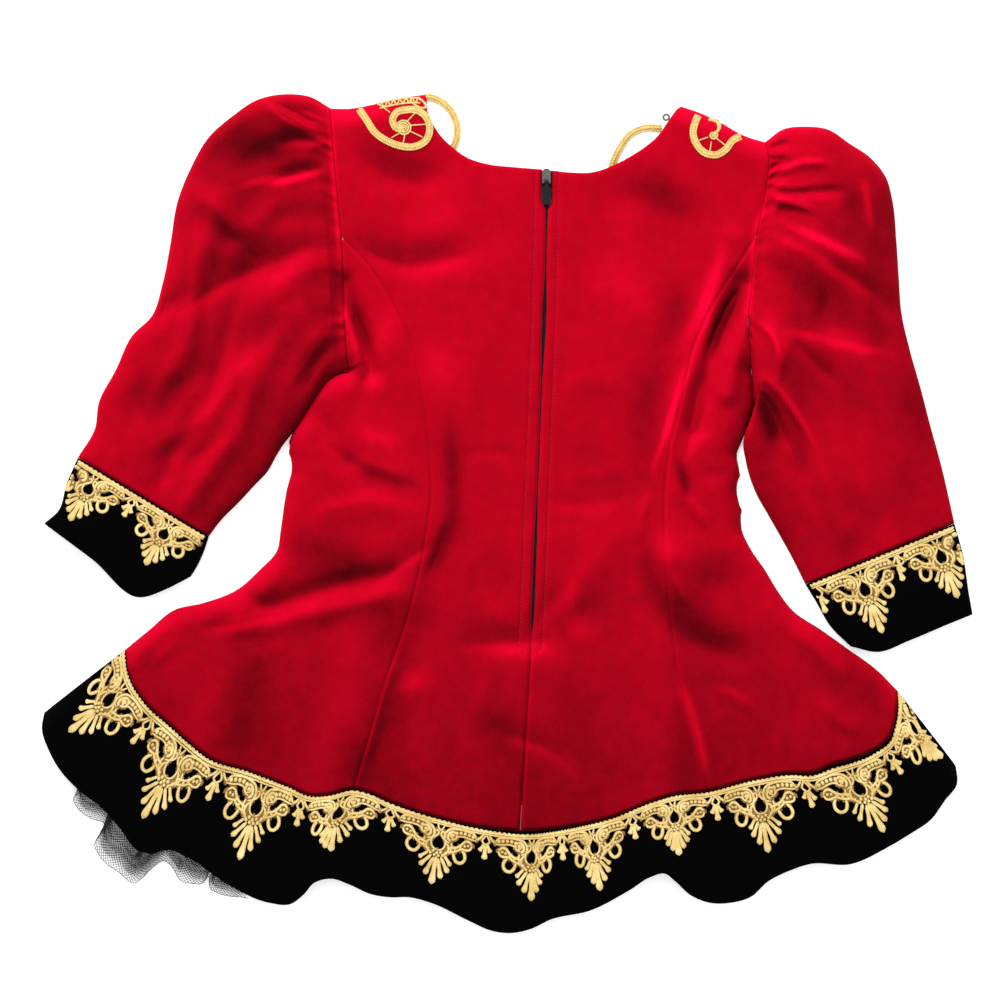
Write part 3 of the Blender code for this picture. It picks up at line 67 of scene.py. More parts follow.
ARMHOLE_LEFT_UPPER = ((-137, 312), (-134, 272), (-131, 240), (-128, 212))
ARMHOLE_LEFT_LOWER = ((-128, 212), (-127, 187), (-126, 149), (-123, 109))
ARMHOLE_RIGHT_UPPER = ((198, 286), (200, 270), (198, 250), (191, 214))
ARMHOLE_RIGHT_LOWER = ((191, 214), (187, 178), (184, 143), (187, 109))
PRINCESS_LEFT = ((-128, 212), (-109, 192), (-90, 162), (-74, 126), (-66, 87), (-61, 49), (-60, 10),
                 (-65, -25), (-76, -74), (-95, -131), (-110, -182), (-119, -212))
PRINCESS_RIGHT = ((191, 214), (174, 187), (157, 160), (142, 126), (133, 87), (124, 49), (120, 10),
                  (120, -25), (124, -75), (131, -127), (144, -171), (153, -214))
SIDE_LEFT = ((-123, 109), (-131.2, 107.2), (-137.4, 104), (-143.6, 98.1), (-148.8, 90.3), (-154.8, 81.3),
             (-160.8, 71.3), (-167.3, 60), (-168.8, 50), (-167, 35), (-171, 18), (-176, -15), (-178, -28),
             (-192, -44), (-209, -59), (-234, -69), (-258, -75), (-278, -91), (-295, -105))
SIDE_RIGHT = ((187.2, 109), (189, 98), (189.5, 88), (189.1, 80), (186.2, 71), (182.9, 62), (179.5, 54),
              (176, 45), (178, 33), (176, 18), (179, 2), (180, -13), (187, -28), (198, -44), (207, -59),
              (219, -75), (241, -90), (262, -105), (284, -121), (299, -136))
BAND_SEAM = ((-295, -105), (-291, -126), (-276, -149), (-261, -162), (-245, -176), (-230, -188),
             (-199, -199), (-168, -211), (-153, -217), (-137, -216), (-119, -212), (-107, -215),
             (-91, -222.5), (-60, -233), (-14, -242.5), (9, -244.5), (47, -241.5), (78, -235),
             (109, -222), (124, -217), (153, -214), (186, -206), (217, -200), (232, -200), (248, -194),
             (278, -184), (293, -173), (297, -161), (299, -149), (299, -136))
BAND_LEFT = ((-295, -105), (-325, -119), (-341, -135), (-358, -154))
BAND_RIGHT = ((299, -136), (319, -153), (332, -169), (345, -195))
# The largest folds: height, half width, route
FOLDS = (
    (-6.0, 8.0, ((-128, 176), (-119, 152), (-110, 128), (-106, 108))),
    (2.5, 6.0, ((-124, 150), (-119, 128), (-114, 108))),
    (-3.5, 10.0, ((-148, 76), (-137, 60), (-122, 42))),
    (-6.0, 9.0, ((180, 176), (168, 148), (158, 122), (149, 96), (145, 66))),
    (3.0, 8.0, ((184, 150), (176, 120), (170, 92))),
    (-5.5, 11.0, ((-182, -74), (-140, -60), (-92, -51))),
    (3.5, 10.0, ((-206, -86), (-148, -74), (-98, -62))),
    (5.5, 20.0, ((-100, -60), (-120, -150), (-146, -284))),
    (-3.0, 16.0, ((-70, -90), (-78, -190), (-84, -296))),
    (2.6, 26.0, ((-10, -90), (-4, -200), (2, -322))),
    (-3.0, 18.0, ((60, -80), (70, -180), (84, -296))),
    (5.5, 18.0, ((122, -40), (126, -160), (121, -277))),
    (-3.0, 16.0, ((160, -60), (176, -180), (192, -290))),
    (3.0, 22.0, ((200, -90), (232, -190), (252, -270))),
    (3.0, 20.0, ((-200, -110), (-236, -200), (-262, -259))),
    (-1.0, 22.0, ((-60, 20), (20, 12), (120, 20))),
)
# Creases and soft hollows: height, half width to the left of the route and to its right, route
CREASES = (
    (-2.4, 14, 10, ((-121, 287), (-100, 267), (-76, 256), (-53, 263), (-36, 273))),
    (-2.4, 14, 8, ((-126, 223), (-108, 204), (-80, 193), (-45, 198), (-14, 208))),
    (-1.8, 14, 12, ((70, 237), (101, 244), (132, 230), (157, 224))),
    (2.6, 12, 5, ((-144, 72), (-133, 58), (-114, 43), (-91, 33), (-64, 25))),
    (-1.6, 8, 10, ((-130, 33), (-105, 22), (-80, 16), (-65, 18))),
    (2.2, 7, 12, ((-151, -5), (-126, 4), (-103, 7), (-82, 0))),
    (-2.6, 11, 5, ((-110, -57), (-87, -41), (-60, -22))),
    (-2.0, 8, 5, ((-244, -89), (-203, -83), (-161, -73))),
    (-2.2, 5, 5, ((-204, -58), (-194, -69), (-181, -76))),
    (-1.6, 9, 5, ((-44, -4), (-53, -30), (-64, -58))),
    (2.4, 6, 16, ((-84, -102), (-96, -132), (-107, -174), (-116, -204))),
    (-1.2, 8, 8, ((-198, -108), (-199, -146), (-198, -187))),
    (1.4, 4, 6, ((-285, -111), (-275, -98), (-262, -83))),
    (1.0, 4, 5, ((-276, -119), (-261, -105), (-251, -95))),
    (-2.2, 12, 6, ((-46, -100), (-18, -99), (8, -98), (40, -96))),
    (1.4, 8, 6, ((-17, -62), (-6, -83), (7, -95))),
    (-1.4, 6, 8, ((40, -54), (26, -78), (11, -96))),
    (2.0, 7, 14, ((-23, -129), (-17, -152), (-11, -167))),
    (-1.8, 11, 6, ((-13, -166), (11, -172), (32, -181), (54, -195))),
    (2.2, 5, 10, ((140, 124), (127, 83), (124, 56), (125, 28))),
    (-2.8, 6, 9, ((154, 109), (145, 79), (135, 47), (129, 33))),
    (-1.2, 3, 4, ((151, 83), (145, 65), (140, 50))),
    (2.0, 4, 5, ((124, 27), (134, 12), (145, 0), (154, -13))),
    (1.4, 4, 5, ((108, 15), (103, -5), (104, -23))),
    (1.6, 14, 10, ((98, -4), (65, -45), (37, -85))),
    (2.4, 12, 6, ((119, -16), (124, -42), (134, -61), (149, -78))),
    (-2.2, 8, 8, ((110, -22), (110, -52), (116, -82))),
    (-2.4, 12, 10, ((110, -64), (129, -90), (159, -104), (197, -112))),
    (1.4, 4, 7, ((157, -136), (174, -142), (189, -154))),
    (2.2, 6, 8, ((219, -81), (233, -102), (248, -119), (261, -136))),
    (-1.8, 6, 7, ((257, -95), (268, -116), (272, -138))),
    (1.4, 6, 5, ((241, -144), (254, -161), (272, -169))),
    (-1.0, 4, 4, ((31, 8), (63, 7), (97, 12))),
    (-0.8, 5, 5, ((-39, 44), (-18, 47), (7, 45))),
    (1.0, 8, 8, ((40, 99), (64, 102), (90, 96))),
    (0.9, 6, 8, ((44, 25), (67, 28), (92, 33))),
    (-3.2, 3, 3, ((-131, 150), (-129, 129), (-129, 111))),
    (1.8, 3, 5, ((-128, 107), (-121, 110), (-114, 117))),
    (-3.2, 6, 4, ((-121, 166), (-114, 137), (-107, 112), (-110, 98))),
    (-1.0, 5, 5, ((-113, 96), (-116, 84), (-117, 72))),
    (-3.4, 6, 4, ((181, 177), (169, 156), (157, 131), (151, 107))),
    (1.8, 5, 4, ((185, 159), (182, 137), (187, 110), (187, 85))),
    (1.2, 6, 8, ((167, 223), (174, 210), (187, 216))),
    (-1.4, 6, 6, ((147, 33), (159, 28), (173, 33))),
    (1.2, 8, 12, ((147, -25), (171, -30), (187, -27))),
    (1.2, 20, 20, ((-161, -136), (-168, -175))),
)
# Strokes of painted shade and highlight, and of pile lying lighter or darker: change, half width, route
BODY_SHADE_AND_NAP = (
    (-.14, 18, ((94, 258), (112, 247), (130, 235), (146, 226))),
    (.30, 6, ((164, 210), (155, 176), (148, 133), (134, 99), (126, 65), (124, 16))),
    (-.14, 12, ((119, 122), (108, 92), (101, 70), (104, 38))),
    (-.22, 7, ((-47, 88), (-43, 26), (-44, -5), (-57, -38), (-69, -66))),
    (.20, 16, ((-64, 126), (-55, 116), (-53, 99))),
    (-.20, 16, ((-180, -20), (-146, -30), (-110, -42), (-84, -46))),
    (.25, 8, ((-84, -137), (-74, -130), (-62, -122))),
    (.25, 8, ((48, -85), (55, -89), (63, -94))),
    (.20, 6, ((54, -53), (47, -65), (40, -78))),
    (-.16, 15, ((105, -50), (131, -81), (160, -99), (190, -112))),
    (.30, 4, ((129, -124), (141, -155), (150, -192), (153, -211))),
    (-.16, 12, ((258, -104), (272, -122), (286, -149))),
    (-.35, 5, ((131, 45), (134, 27), (137, 9))),
    (-.18, 9, ((104, -14), (108, -40), (114, -62), (128, -80))),
    (.32, 2.2, ((-138, 322), (-134, 253), (-131, 214), (-128, 172))),
    (.32, 2.2, ((197, 256), (197, 239), (191, 222), (187, 179), (184, 141))),
    (.30, 2.4, ((145, 119), (126, 79), (119, 56), (112, 34), (112, 18))),
    (-.20, 16, ((-121, 287), (-100, 272), (-76, 263), (-49, 267))),
    (.22, 9, ((-22, -109), (9, -108), (47, -105))),
    (-.10, 16, ((-30, -130), (-10, -152), (0, -176), (14, -192))),
    (.22, 6, ((-114, 65), (-99, 58), (-80, 55))),
    (.18, 10, ((-114, 118), (-93, 141), (-90, 164))),
    (.15, 18, ((63, 195), (94, 172), (109, 141))),
    (.15, 16, ((-30, 241), (-53, 226), (-84, 222))),
    (-.10, 22, ((-214, -96), (-206, -126), (-201, -160), (-196, -200))),
    (-.14, 10, ((-125, 223), (-108, 207), (-86, 196), (-64, 199), (-30, 210))),
    (.14, 12, ((-84, 184), (-50, 187), (-10, 196))),
    (-.26, 5, ((-127, 169), (-119, 155), (-112, 138), (-104, 112))),
    (.26, 2.4, ((-128, 162), (-121, 141), (-115, 116))),
    (-.16, 10, ((136, 186), (128, 160), (114, 124))),
    (.22, 5, ((168, 226), (164, 200), (156, 172), (138, 138), (126, 112))),
    (-.30, 7, ((184, 180), (172, 158), (160, 136), (154, 114))),
    (-.12, 16, ((98, 262), (116, 246), (134, 234))),
)
# The zip slit: share of the centre back's length, half width of the opening
SLIT = ((0, 4.1), (.04, 4.0), (.062, .9), (.09, .5), (.15, .5), (.18, 1.0), (.21, 1.6), (.25, 1.5),
        (.29, .8), (.34, .45), (.5, .45), (.53, .9), (.56, 1.25), (.68, 1.25), (.703, .1), (1, .1))
# Share of a centre panel's top edge that is shoulder, and the share of each panel's outer edge that is
# armhole; then the rows and columns of each panel's grid, and how many columns the slit's edge pulls on
SHOULDER_SHARE = 0.45
CENTRE_ARMHOLE, SIDE_ARMHOLE = 0.155, 0.194
CENTRE_GRID, SIDE_GRID = (250, 76), (210, 70)
SLIT_REACH = 14
# Rows of a side panel that are sewn to the sleeve
ARMHOLE_ROWS = 46
# Where the slit ends on the centre back, and how far from it the edges' stitching runs
SLIT_END = 0.715
STITCH_OUT = 9.0


class Curve:
    """A smooth line through the points of a short table, read by the share of its length.

    Between two points it is the cubic that leaves each of them along the line between its neighbours.
    """

    def __init__(self, table):
        knots = np.array(table, float)
        step = np.hypot(*np.diff(knots, axis=0).T)
        along = np.concatenate(([0.0], np.cumsum(step)))
        slope = np.gradient(knots, along, axis=0)
        t = np.linspace(0.0, 1.0, 24, endpoint=False)[None, :, None]
        h = step[:, None, None]
        rows = ((2 * t**3 - 3 * t**2 + 1) * knots[:-1, None] + (3 * t**2 - 2 * t**3) * knots[1:, None]
                + (t**3 - 2 * t**2 + t) * h * slope[:-1, None] + (t**3 - t**2) * h * slope[1:, None])
        self.points = np.vstack((rows.reshape(-1, knots.shape[1]), knots[-1:]))
        reach = np.hypot(*np.diff(self.points[:, :2], axis=0).T)
        self.along = np.concatenate(([0.0], np.cumsum(reach)))
        self.length = self.along[-1]

    def at(self, share):
        place = np.clip(np.asarray(share, float), 0.0, 1.0) * self.length
        return np.stack([np.interp(place, self.along, column) for column in self.points.T], axis=-1)

    def nearest(self, point):
        """The share of the length that lies nearest to a point."""
        gap = np.hypot(*(self.points - np.array(point, float)).T)
        return self.along[int(np.argmin(gap))] / self.length


def ahead_of(line):
    """The unit direction of a line at each of its points, and the one square to it on the left."""
    ahead = np.gradient(line, axis=0)
    ahead /= np.hypot(*ahead.T)[:, None]
    return ahead, np.column_stack((-ahead[:, 1], ahead[:, 0]))


def off_line(places, line):
    """The distance in plan from each place to the nearest point of the nearest piece of a line."""
    start, run = line[:-1][None], (line[1:] - line[:-1])[None]
    offset = places[:, None] - start
    share = np.clip((offset * run).sum(-1) / np.maximum((run**2).sum(-1), 1e-9), 0.0, 1.0)
    return np.hypot(*np.moveaxis(offset - share[..., None] * run, -1, 0)).min(axis=1)


def strokes(places, table):
    """The sum of soft strokes: each rise times exp of minus (distance / half width) squared.

    A stroke is summed from 14 to 70 round spots along its route, less than half a half width apart where
    that is enough, so that it stays smooth where the route bends. The half width may differ on the two
    sides of the route, and a stroke fades to nothing over the first and the last three tenths of it.
    """
    total = np.zeros(len(places))
    for row in table:
        rise, left, right, route = row if len(row) == 4 else (row[0], row[1], row[1], row[2])
        curve = Curve(route)
        spots = int(np.clip(curve.length / (0.45 * min(left, right)), 14, 70))
        share = np.linspace(0, 1, spots)
        line = curve.at(share)
        reach = 2.6 * max(left, right)
        near = ((places > line.min(axis=0) - reach) & (places < line.max(axis=0) + reach)).all(axis=1)
        if near.any():
            ahead = ahead_of(line)[0]
            offset = places[near][:, None] - line
            gap = np.hypot(*np.moveaxis(offset, -1, 0)) + 1e-6
            aside = (ahead[:, 0] * offset[..., 1] - ahead[:, 1] * offset[..., 0]) / gap
            half = (left + right) / 2 + (left - right) / 2 * aside
            fade = np.clip(np.minimum(share, 1 - share) / 0.3, 0.0, 1.0)
            weight = fade**2 * (3 - 2 * fade) * curve.length / (spots - 1) / (np.sqrt(np.pi) * half)
            total[near] += rise * (weight * np.exp(-(gap / half) ** 2)).sum(axis=1)
    return total


CLOSED_EDGES = [Curve(table).at(np.linspace(0, 1, 40)) for table in
                (SHOULDER_LEFT, SHOULDER_RIGHT, SIDE_LEFT + BAND_LEFT[1:], SIDE_RIGHT + BAND_RIGHT[1:])]


def back_top(places):
    """Height of the back's upper side: loft plus folds plus creases, rolled down at the closed edges.

    The roll is a quarter of an ellipse over the last 17 mm.
    """
    flat = np.asarray(places, float).reshape(-1, 2)
    height = BODICE_LOFT + (SKIRT_LOFT - BODICE_LOFT) * np.clip((40 - flat[:, 1]) / 60, 0.0, 1.0)
    edge = np.min([off_line(flat, line) for line in CLOSED_EDGES], axis=0)
    near = 1.0 - np.clip(edge / SIDE_ROUND, 0.0, 1.0)
    for rise, half, route in FOLDS:
        height += rise * np.exp(-(off_line(flat, np.array(route, float)) / half) ** 2)
    height += strokes(flat, CREASES) * 0.85
    top = FRONT_TOP + (np.maximum(height, 1.0) + WALL) * np.sqrt(1.0 - near**2)
    return top.reshape(np.shape(places)[:-1])


def patch(top, bottom, left, right, across, down, hold):
    """Points between four edges: straight lines from the left edge to the right one, plus the bows of
    the top and bottom edges, which fade with a power of the distance from that edge."""
    u, v = np.broadcast_arrays(np.asarray(across, float), np.asarray(down, float))
    u3, v3 = u[..., None], v[..., None]
    top_bow = top(u) - (1 - u3) * top(0.0) - u3 * top(1.0)
    bottom_bow = bottom(u) - (1 - u3) * bottom(0.0) - u3 * bottom(1.0)
    return (1 - u3) * left(v) + u3 * right(v) + (1 - v3) ** hold * top_bow + v3**hold * bottom_bow


def shares(count, gather=0.72):
    """Numbers from 0 to 1 that lie closer together at both ends: t minus a sine of a whole turn."""
    t = np.linspace(0.0, 1.0, count)
    return t - gather * np.sin(2 * np.pi * t) / (2 * np.pi)


def joined(first, second, turn):
    """A line of two curves end to end, by share: the first up to the share turn, and then the second."""
    def place(share):
        share = np.asarray(share, float)
        on_second = second.at((share - turn) / (1 - turn))
        return np.where(share[..., None] <= turn, first.at(share / turn), on_second)
    return place


def grid_faces(rows, columns, wrap=False):
    """Quads between neighbours of a grid; wrap joins the last column to the first."""
    number = np.arange(rows * columns).reshape(rows, columns)
    right = np.roll(number, -1, axis=1)
    quads = np.stack((number[:-1], right[:-1], right[1:], number[1:]), axis=-1)
    return (quads if wrap else quads[:, :-1]).reshape(-1, 4)


def face_up(points, faces):
    """Turn the quads of a lying sheet so that they face up, by the sign of their whole area in plan."""
    a, b, c = (points.reshape(-1, 3)[faces[:, k]] for k in (0, 1, 2))
    area = (b[:, 0] - a[:, 0]) * (c[:, 1] - a[:, 1]) - (b[:, 1] - a[:, 1]) * (c[:, 0] - a[:, 0])
    return faces[:, ::-1] if area.sum() < 0 else faces


def make_piece(name, points, faces, material, values=None, uv=None, wall=0.0):
    """One smooth object at the origin from points in mm, with a wall inwards where one is given."""
    mesh = bpy.data.meshes.new(name)
    blocks = faces if isinstance(faces, list) else [faces]
    mesh.from_pydata((np.asarray(points, float).reshape(-1, 3) * 0.001).tolist(), [],
                     [face for block in blocks for face in block.tolist()])
    mesh.polygons.foreach_set("use_smooth", np.ones(len(mesh.polygons), bool))
    # The values are a tone for the materials to read; on the velvet they carry painted shade and
    # highlights.
    if values is not None:
        mesh.attributes.new("tone_and_painted_light", "FLOAT", "POINT").data.foreach_set(
            "value", np.ascontiguousarray(values, np.float32).ravel())
    if uv is not None:
        corner = np.empty(len(mesh.loops), np.int32)
        mesh.loops.foreach_get("vertex_index", corner)
        layer = mesh.uv_layers.new(name="UVMap")
        layer.data.foreach_set("uv", np.asarray(uv, np.float32).reshape(-1, 2)[corner].ravel())
    mesh.update()
    mesh.materials.append(material)
    made = bpy.data.objects.new(name, mesh)
    bpy.context.scene.collection.objects.link(made)
    if wall:
        step = made.modifiers.new("wall", "SOLIDIFY")
        step.thickness = wall * 0.001
        step.offset = -1.0
        step.use_quality_normals = True
    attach(made, "dress")
    return made


def hex_colour(code):
    """Linear colour of an sRGB hex code: over 12.92 in the darks, else a power of 2.4."""
    parts = np.array([int(code[k:k + 2], 16) for k in (1, 3, 5)]) / 255
    linear = np.where(parts <= 0.04045, parts / 12.92, ((parts + 0.055) / 1.055) ** 2.4)
    return (*linear.tolist(), 1.0)


def add_node(tree, kind, settings, sockets):
    """Add a shader node, set its settings, and give each socket a value or another node's output."""
    made = tree.nodes.new("ShaderNode" + kind)
    for name, value in settings.items():
        setattr(made, name, value)
    for name, value in sockets.items():
        if isinstance(value, bpy.types.NodeSocket):
            tree.links.new(value, made.inputs[name])
        else:
            made.inputs[name].default_value = value
    return made


def finish(name, settings):
    """A new material: its node tree, and its Principled shader with the given values on its sockets."""
    material = bpy.data.materials.new(name)
    material.use_nodes = True
    tree = material.node_tree
    shader = tree.nodes["Principled BSDF"]
    for socket, value in settings.items():
        shader.inputs[socket].default_value = value
    return material, tree, shader


def ramp(tree, factor, stops):
    """A colour ramp from a table of places and hex colours."""
    made = add_node(tree, "ValToRGB", {}, {"Fac": factor})
    scale = made.color_ramp.elements
    while len(scale) < len(stops):
        scale.new(0.5)
    for element, (place, code) in zip(scale, stops):
        element.position = place
        element.color = hex_colour(code)
    return made.outputs["Color"]


def velvet(name, stops, sheen, tint, strength):
    """Short cut pile, knitted back.

    Its colour follows the mesh's value of tone and painted light: painted shade and highlights from the
    slopes and strokes, broken up by patches of 35 mm, rubs of 8 mm and the pile's own grain, drawn at
    0.7 mm because real pile is too fine to show.
    """
    material, tree, shader = finish(name, {"Roughness": 0.9, "Specular IOR Level": 0.03,
                                           "Sheen Weight": sheen, "Sheen Roughness": 0.38,
                                           "Sheen Tint": hex_colour(tint)})
    place = add_node(tree, "TexCoord", {}, {}).outputs["Object"]
    # The mesh's value: tone, with painted shade and painted highlights on the velvet.
    tone_and_shade_value = add_node(tree, "Attribute", {"attribute_name": "tone_and_painted_light"}, {}).outputs["Fac"]
    for scale, detail, amount in ((24.0, 2.0, 0.22), (110.0, 2.0, 0.14), (1400.0, 1.0, 0.26)):
        patches = add_node(tree, "TexNoise", {}, {"Vector": place, "Scale": scale, "Detail": detail})
        level = add_node(tree, "Math", {"operation": "SUBTRACT"}, {0: patches.outputs["Fac"], 1: 0.5})
        tone_and_shade_value = add_node(tree, "Math", {"operation": "MULTIPLY_ADD"},
                       {0: level.outputs[0], 1: amount, 2: tone_and_shade_value}).outputs[0]
    tree.links.new(ramp(tree, tone_and_shade_value, stops), shader.inputs["Base Color"])
    bump = add_node(tree, "Bump", {}, {"Height": patches.outputs["Fac"], "Strength": strength,
                                       "Distance": 0.0004})
    tree.links.new(bump.outputs["Normal"], shader.inputs["Normal"])
    return material


red_velvet = velvet("crimson polyester velvet, cut pile",
                    ((0.0, "#1C0002"), (0.22, "#4A0006"), (0.45, "#820010"), (0.7, "#AC0018"),
                     (1.0, "#D8002C")), 0.06, "#FF2848", 0.5)
# The way in plan towards the large light
LIGHT_ALONG = np.array((-0.26, 0.96))


def pile_value_with_painted_light(points, table, level):
    """The value of tone and painted light: level, plus painted light and shade by the surface's slope
    towards the light side, which counts less the steeper it is (a hyperbolic tangent), plus the strokes."""
    across, down = np.gradient(points, axis=1), np.gradient(points, axis=0)
    normal = np.cross(across, down)
    normal /= np.maximum(np.linalg.norm(normal, axis=-1, keepdims=True), 1e-9)
    normal *= np.sign(normal[..., 2:3] + 1e-6)
    slope = normal[..., :2] @ LIGHT_ALONG
    flat = points[..., :2].reshape(-1, 2)
    return level + 0.36 * np.tanh(2.0 * slope) + strokes(flat, table).reshape(slope.shape)


def skirt_level(points):
    """The middle value of tone and painted light: a little lighter over the bodice and darker towards the
    hem.
    """
    return 0.58 + np.interp(points[..., 1], (-240, -150, 20, 300), (-0.20, -0.10, 0.0, 0.06))


def seam_dip(flat, lines, deep=1.1, half=1.5):
    """How far a sewn edge is drawn down: deep times exp of minus (distance / half) squared."""
    gap = np.min([off_line(flat, line) for line in lines], axis=0)
    return deep * np.exp(-(gap / half) ** 2)


def drawn_down(plan, dip):
    """Points of the back's upper side, less the dips, which fade where the cloth is already low."""
    top = back_top(plan)
    return np.dstack((plan, top - dip.reshape(top.shape) * np.clip((top - 2.6) / 5.0, 0.0, 1.0)))


def back_panel(name, node, plan, dip):
    """A back panel of the velvet from its grid in plan, laid over the net in place of the CAD's node."""
    points = drawn_down(plan, dip)
    faces = face_up(points, grid_faces(*plan.shape[:2]))
    # The colour value carries painted shade and highlights from the slope and the strokes.
    panel = make_piece(name, points, faces, red_velvet, wall=VELVET_THICK,
                       values=pile_value_with_painted_light(points, BODY_SHADE_AND_NAP, skirt_level(points)))
    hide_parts(node)


seam = Curve(BAND_SEAM)
zip_line = Curve(CENTRE_BACK)
# The edges of each panel, the size it is cut to and the area of the cut, in metres
CENTRE_PANELS = {
    "left": (SHOULDER_LEFT, NECK_LEFT, ARMHOLE_LEFT_UPPER, PRINCESS_LEFT, (0.235, 0.60), 0.072),
    "right": (SHOULDER_RIGHT, NECK_RIGHT, ARMHOLE_RIGHT_UPPER, PRINCESS_RIGHT, (0.215, 0.60), 0.077)}
for side, (*tables, cut, area) in CENTRE_PANELS.items():
    shoulder, neck, upper, princess = (Curve(table) for table in tables)
    low_from, low_to = (seam.nearest(line.points[-1]) for line in (princess, zip_line))
    rows, columns = CENTRE_GRID
    u, v = shares(columns), shares(rows)
    plan = patch(joined(shoulder, neck, SHOULDER_SHARE),
                 lambda s: seam.at(low_from + s * (low_to - low_from)),
                 joined(upper, princess, CENTRE_ARMHOLE), zip_line.at, u[None], v[:, None], 5)
    inward = plan[:, -2] - plan[:, -1]
    inward /= np.linalg.norm(inward, axis=1, keepdims=True)
    pull = np.clip((np.arange(columns) - (columns - 1 - SLIT_REACH)) / SLIT_REACH, 0, 1)[None, :, None]
    plan = plan + pull * inward[:, None] * np.interp(v, *np.array(SLIT).T)[:, None, None]
    flat = plan.reshape(-1, 2)
    dip = seam_dip(flat, [plan[:, 0]], 0.55, 1.6) + seam_dip(flat, [plan[-1], plan[:, -1]])
    dip += seam_dip(flat, [plan[0]], 0.4, 1.6)
    stitched = off_line(flat, zip_line.at(np.linspace(0, SLIT_END, 60)))
    dip += 0.6 * np.exp(-((stitched - STITCH_OUT) / 1.3) ** 2)
    back_panel("centre_back_" + side, "back_centre_" + side, plan, dip)


# SIDE BACK PANELS
# Two flared panels of the same velvet, from a point at the armhole to the hem band. They are sewn to the
# centre panels along the princess seams and to the front down the side seams.
SIDE_PANELS = {
    "left": (ARMHOLE_LEFT_LOWER, PRINCESS_LEFT, SIDE_LEFT, 0.0, 0.057),
    "right": (ARMHOLE_RIGHT_LOWER, PRINCESS_RIGHT, SIDE_RIGHT, 1.0, 0.043)}
for side, (*tables, seam_outer, area) in SIDE_PANELS.items():
    lower, princess, outer = (Curve(table) for table in tables)
    from_princess = seam.nearest(princess.points[-1])
    tip = lower.at(0.0)
    rows, columns = SIDE_GRID
    u, v = shares(columns), 0.004 + 0.996 * shares(rows)
    plan = patch(lambda s: tip + np.zeros_like(s)[..., None],
                 lambda s: seam.at(seam_outer + s * (from_princess - seam_outer)),
                 joined(lower, outer, SIDE_ARMHOLE), princess.at, u[None], v[:, None], 3)
    flat = plan.reshape(-1, 2)
    dip = seam_dip(flat, [plan[:, -1], plan[:ARMHOLE_ROWS, 0]], 0.55, 1.6) + seam_dip(flat, [plan[-1]])
    back_panel("side_back_" + side, "back_side_" + side, plan, dip)


# FRONT PANEL
# The front of the dress, the same velvet, lying pile down on the surface. Only its edges can be seen, a
# little inside those of the back, at the neck and round the sides.
FRONT_LEVEL, FRONT_THICK, FRONT_NAP = 1.35, 1.1, 0.42
FRONT_GRID = (90, 80)
ARMHOLES = {"left": ARMHOLE_LEFT_UPPER + ARMHOLE_LEFT_LOWER[1:],
            "right": ARMHOLE_RIGHT_UPPER + ARMHOLE_RIGHT_LOWER[1:]}


def inside_of(points, amount):
    """A line moved square to itself, to the left of its run where the amount is positive."""
    return points + ahead_of(points)[1] * amount


def edge_inside(table, count, amount):
    """The smooth line of a table as so many points, moved in from the edge of the back."""
    return inside_of(Curve(table).at(np.linspace(0, 1, count)), amount)


top_line = np.vstack((edge_inside(SHOULDER_LEFT, 16, -1.2)[:-1], edge_inside(NECK_LEFT, 34, -8.0)[2:-1],
                      edge_inside(NECK_RIGHT, 36, 8.0)[::-1][1:-2],
                      edge_inside(SHOULDER_RIGHT, 16, 1.2)[::-1][1:]))
left_line = np.vstack((edge_inside(ARMHOLES["left"], 40, 1.8), edge_inside(SIDE_LEFT, 60, 1.2)[1:]))
right_line = np.vstack((edge_inside(ARMHOLES["right"], 40, -1.8), edge_inside(SIDE_RIGHT, 60, -1.2)[1:]))
low_line = inside_of(seam.at(np.linspace(0.01, 0.99, 90)), 0.6)
top_line[0], top_line[-1] = left_line[0], right_line[0]
low_line[0], low_line[-1] = left_line[-1], right_line[-1]
rim = [Curve(line[::3]).at for line in (top_line, low_line, left_line, right_line)]
rows, columns = FRONT_GRID
plan = patch(*rim, shares(columns, 0.3)[None], shares(rows, 0.3)[:, None], 3)
height = FRONT_LEVEL + 0.12 * np.sin(plan[..., 0] / 17) * np.sin(plan[..., 1] / 23)
points = np.dstack((plan, height))
panel = make_piece("front_cloth", points, face_up(points, grid_faces(rows, columns)), red_velvet,
                   values=np.full(plan.shape[:2], FRONT_NAP), wall=FRONT_THICK)
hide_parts("front_panel")


# HEM BANDS
# A band of black velvet round the hem, sewn to the skirt's lower edge and turned up inside. The back one
# lies over the net and carries the lace; the front one lies flat below.
HEM = ((-358, -154), (-359, -167), (-354, -182), (-345, -198), (-331, -213), (-313, -227), (-298, -244),
       (-286, -259), (-276, -262), (-261, -259), (-245, -266), (-214, -287), (-184, -300), (-168, -301),
       (-158, -294), (-149, -284), (-137, -281), (-122, -286), (-107, -293), (-91, -296), (-76, -296),
       (-60, -300), (-30, -314), (-14, -321), (1, -323), (17, -320), (32, -313), (63, -306), (94, -290),
       (109, -280), (120, -277), (128, -283), (140, -294), (155, -300), (171, -300), (186, -296),
       (201, -283), (217, -275), (232, -270), (263, -270), (294, -256), (309, -247), (325, -236),
       (336, -221), (345, -209), (345, -195))
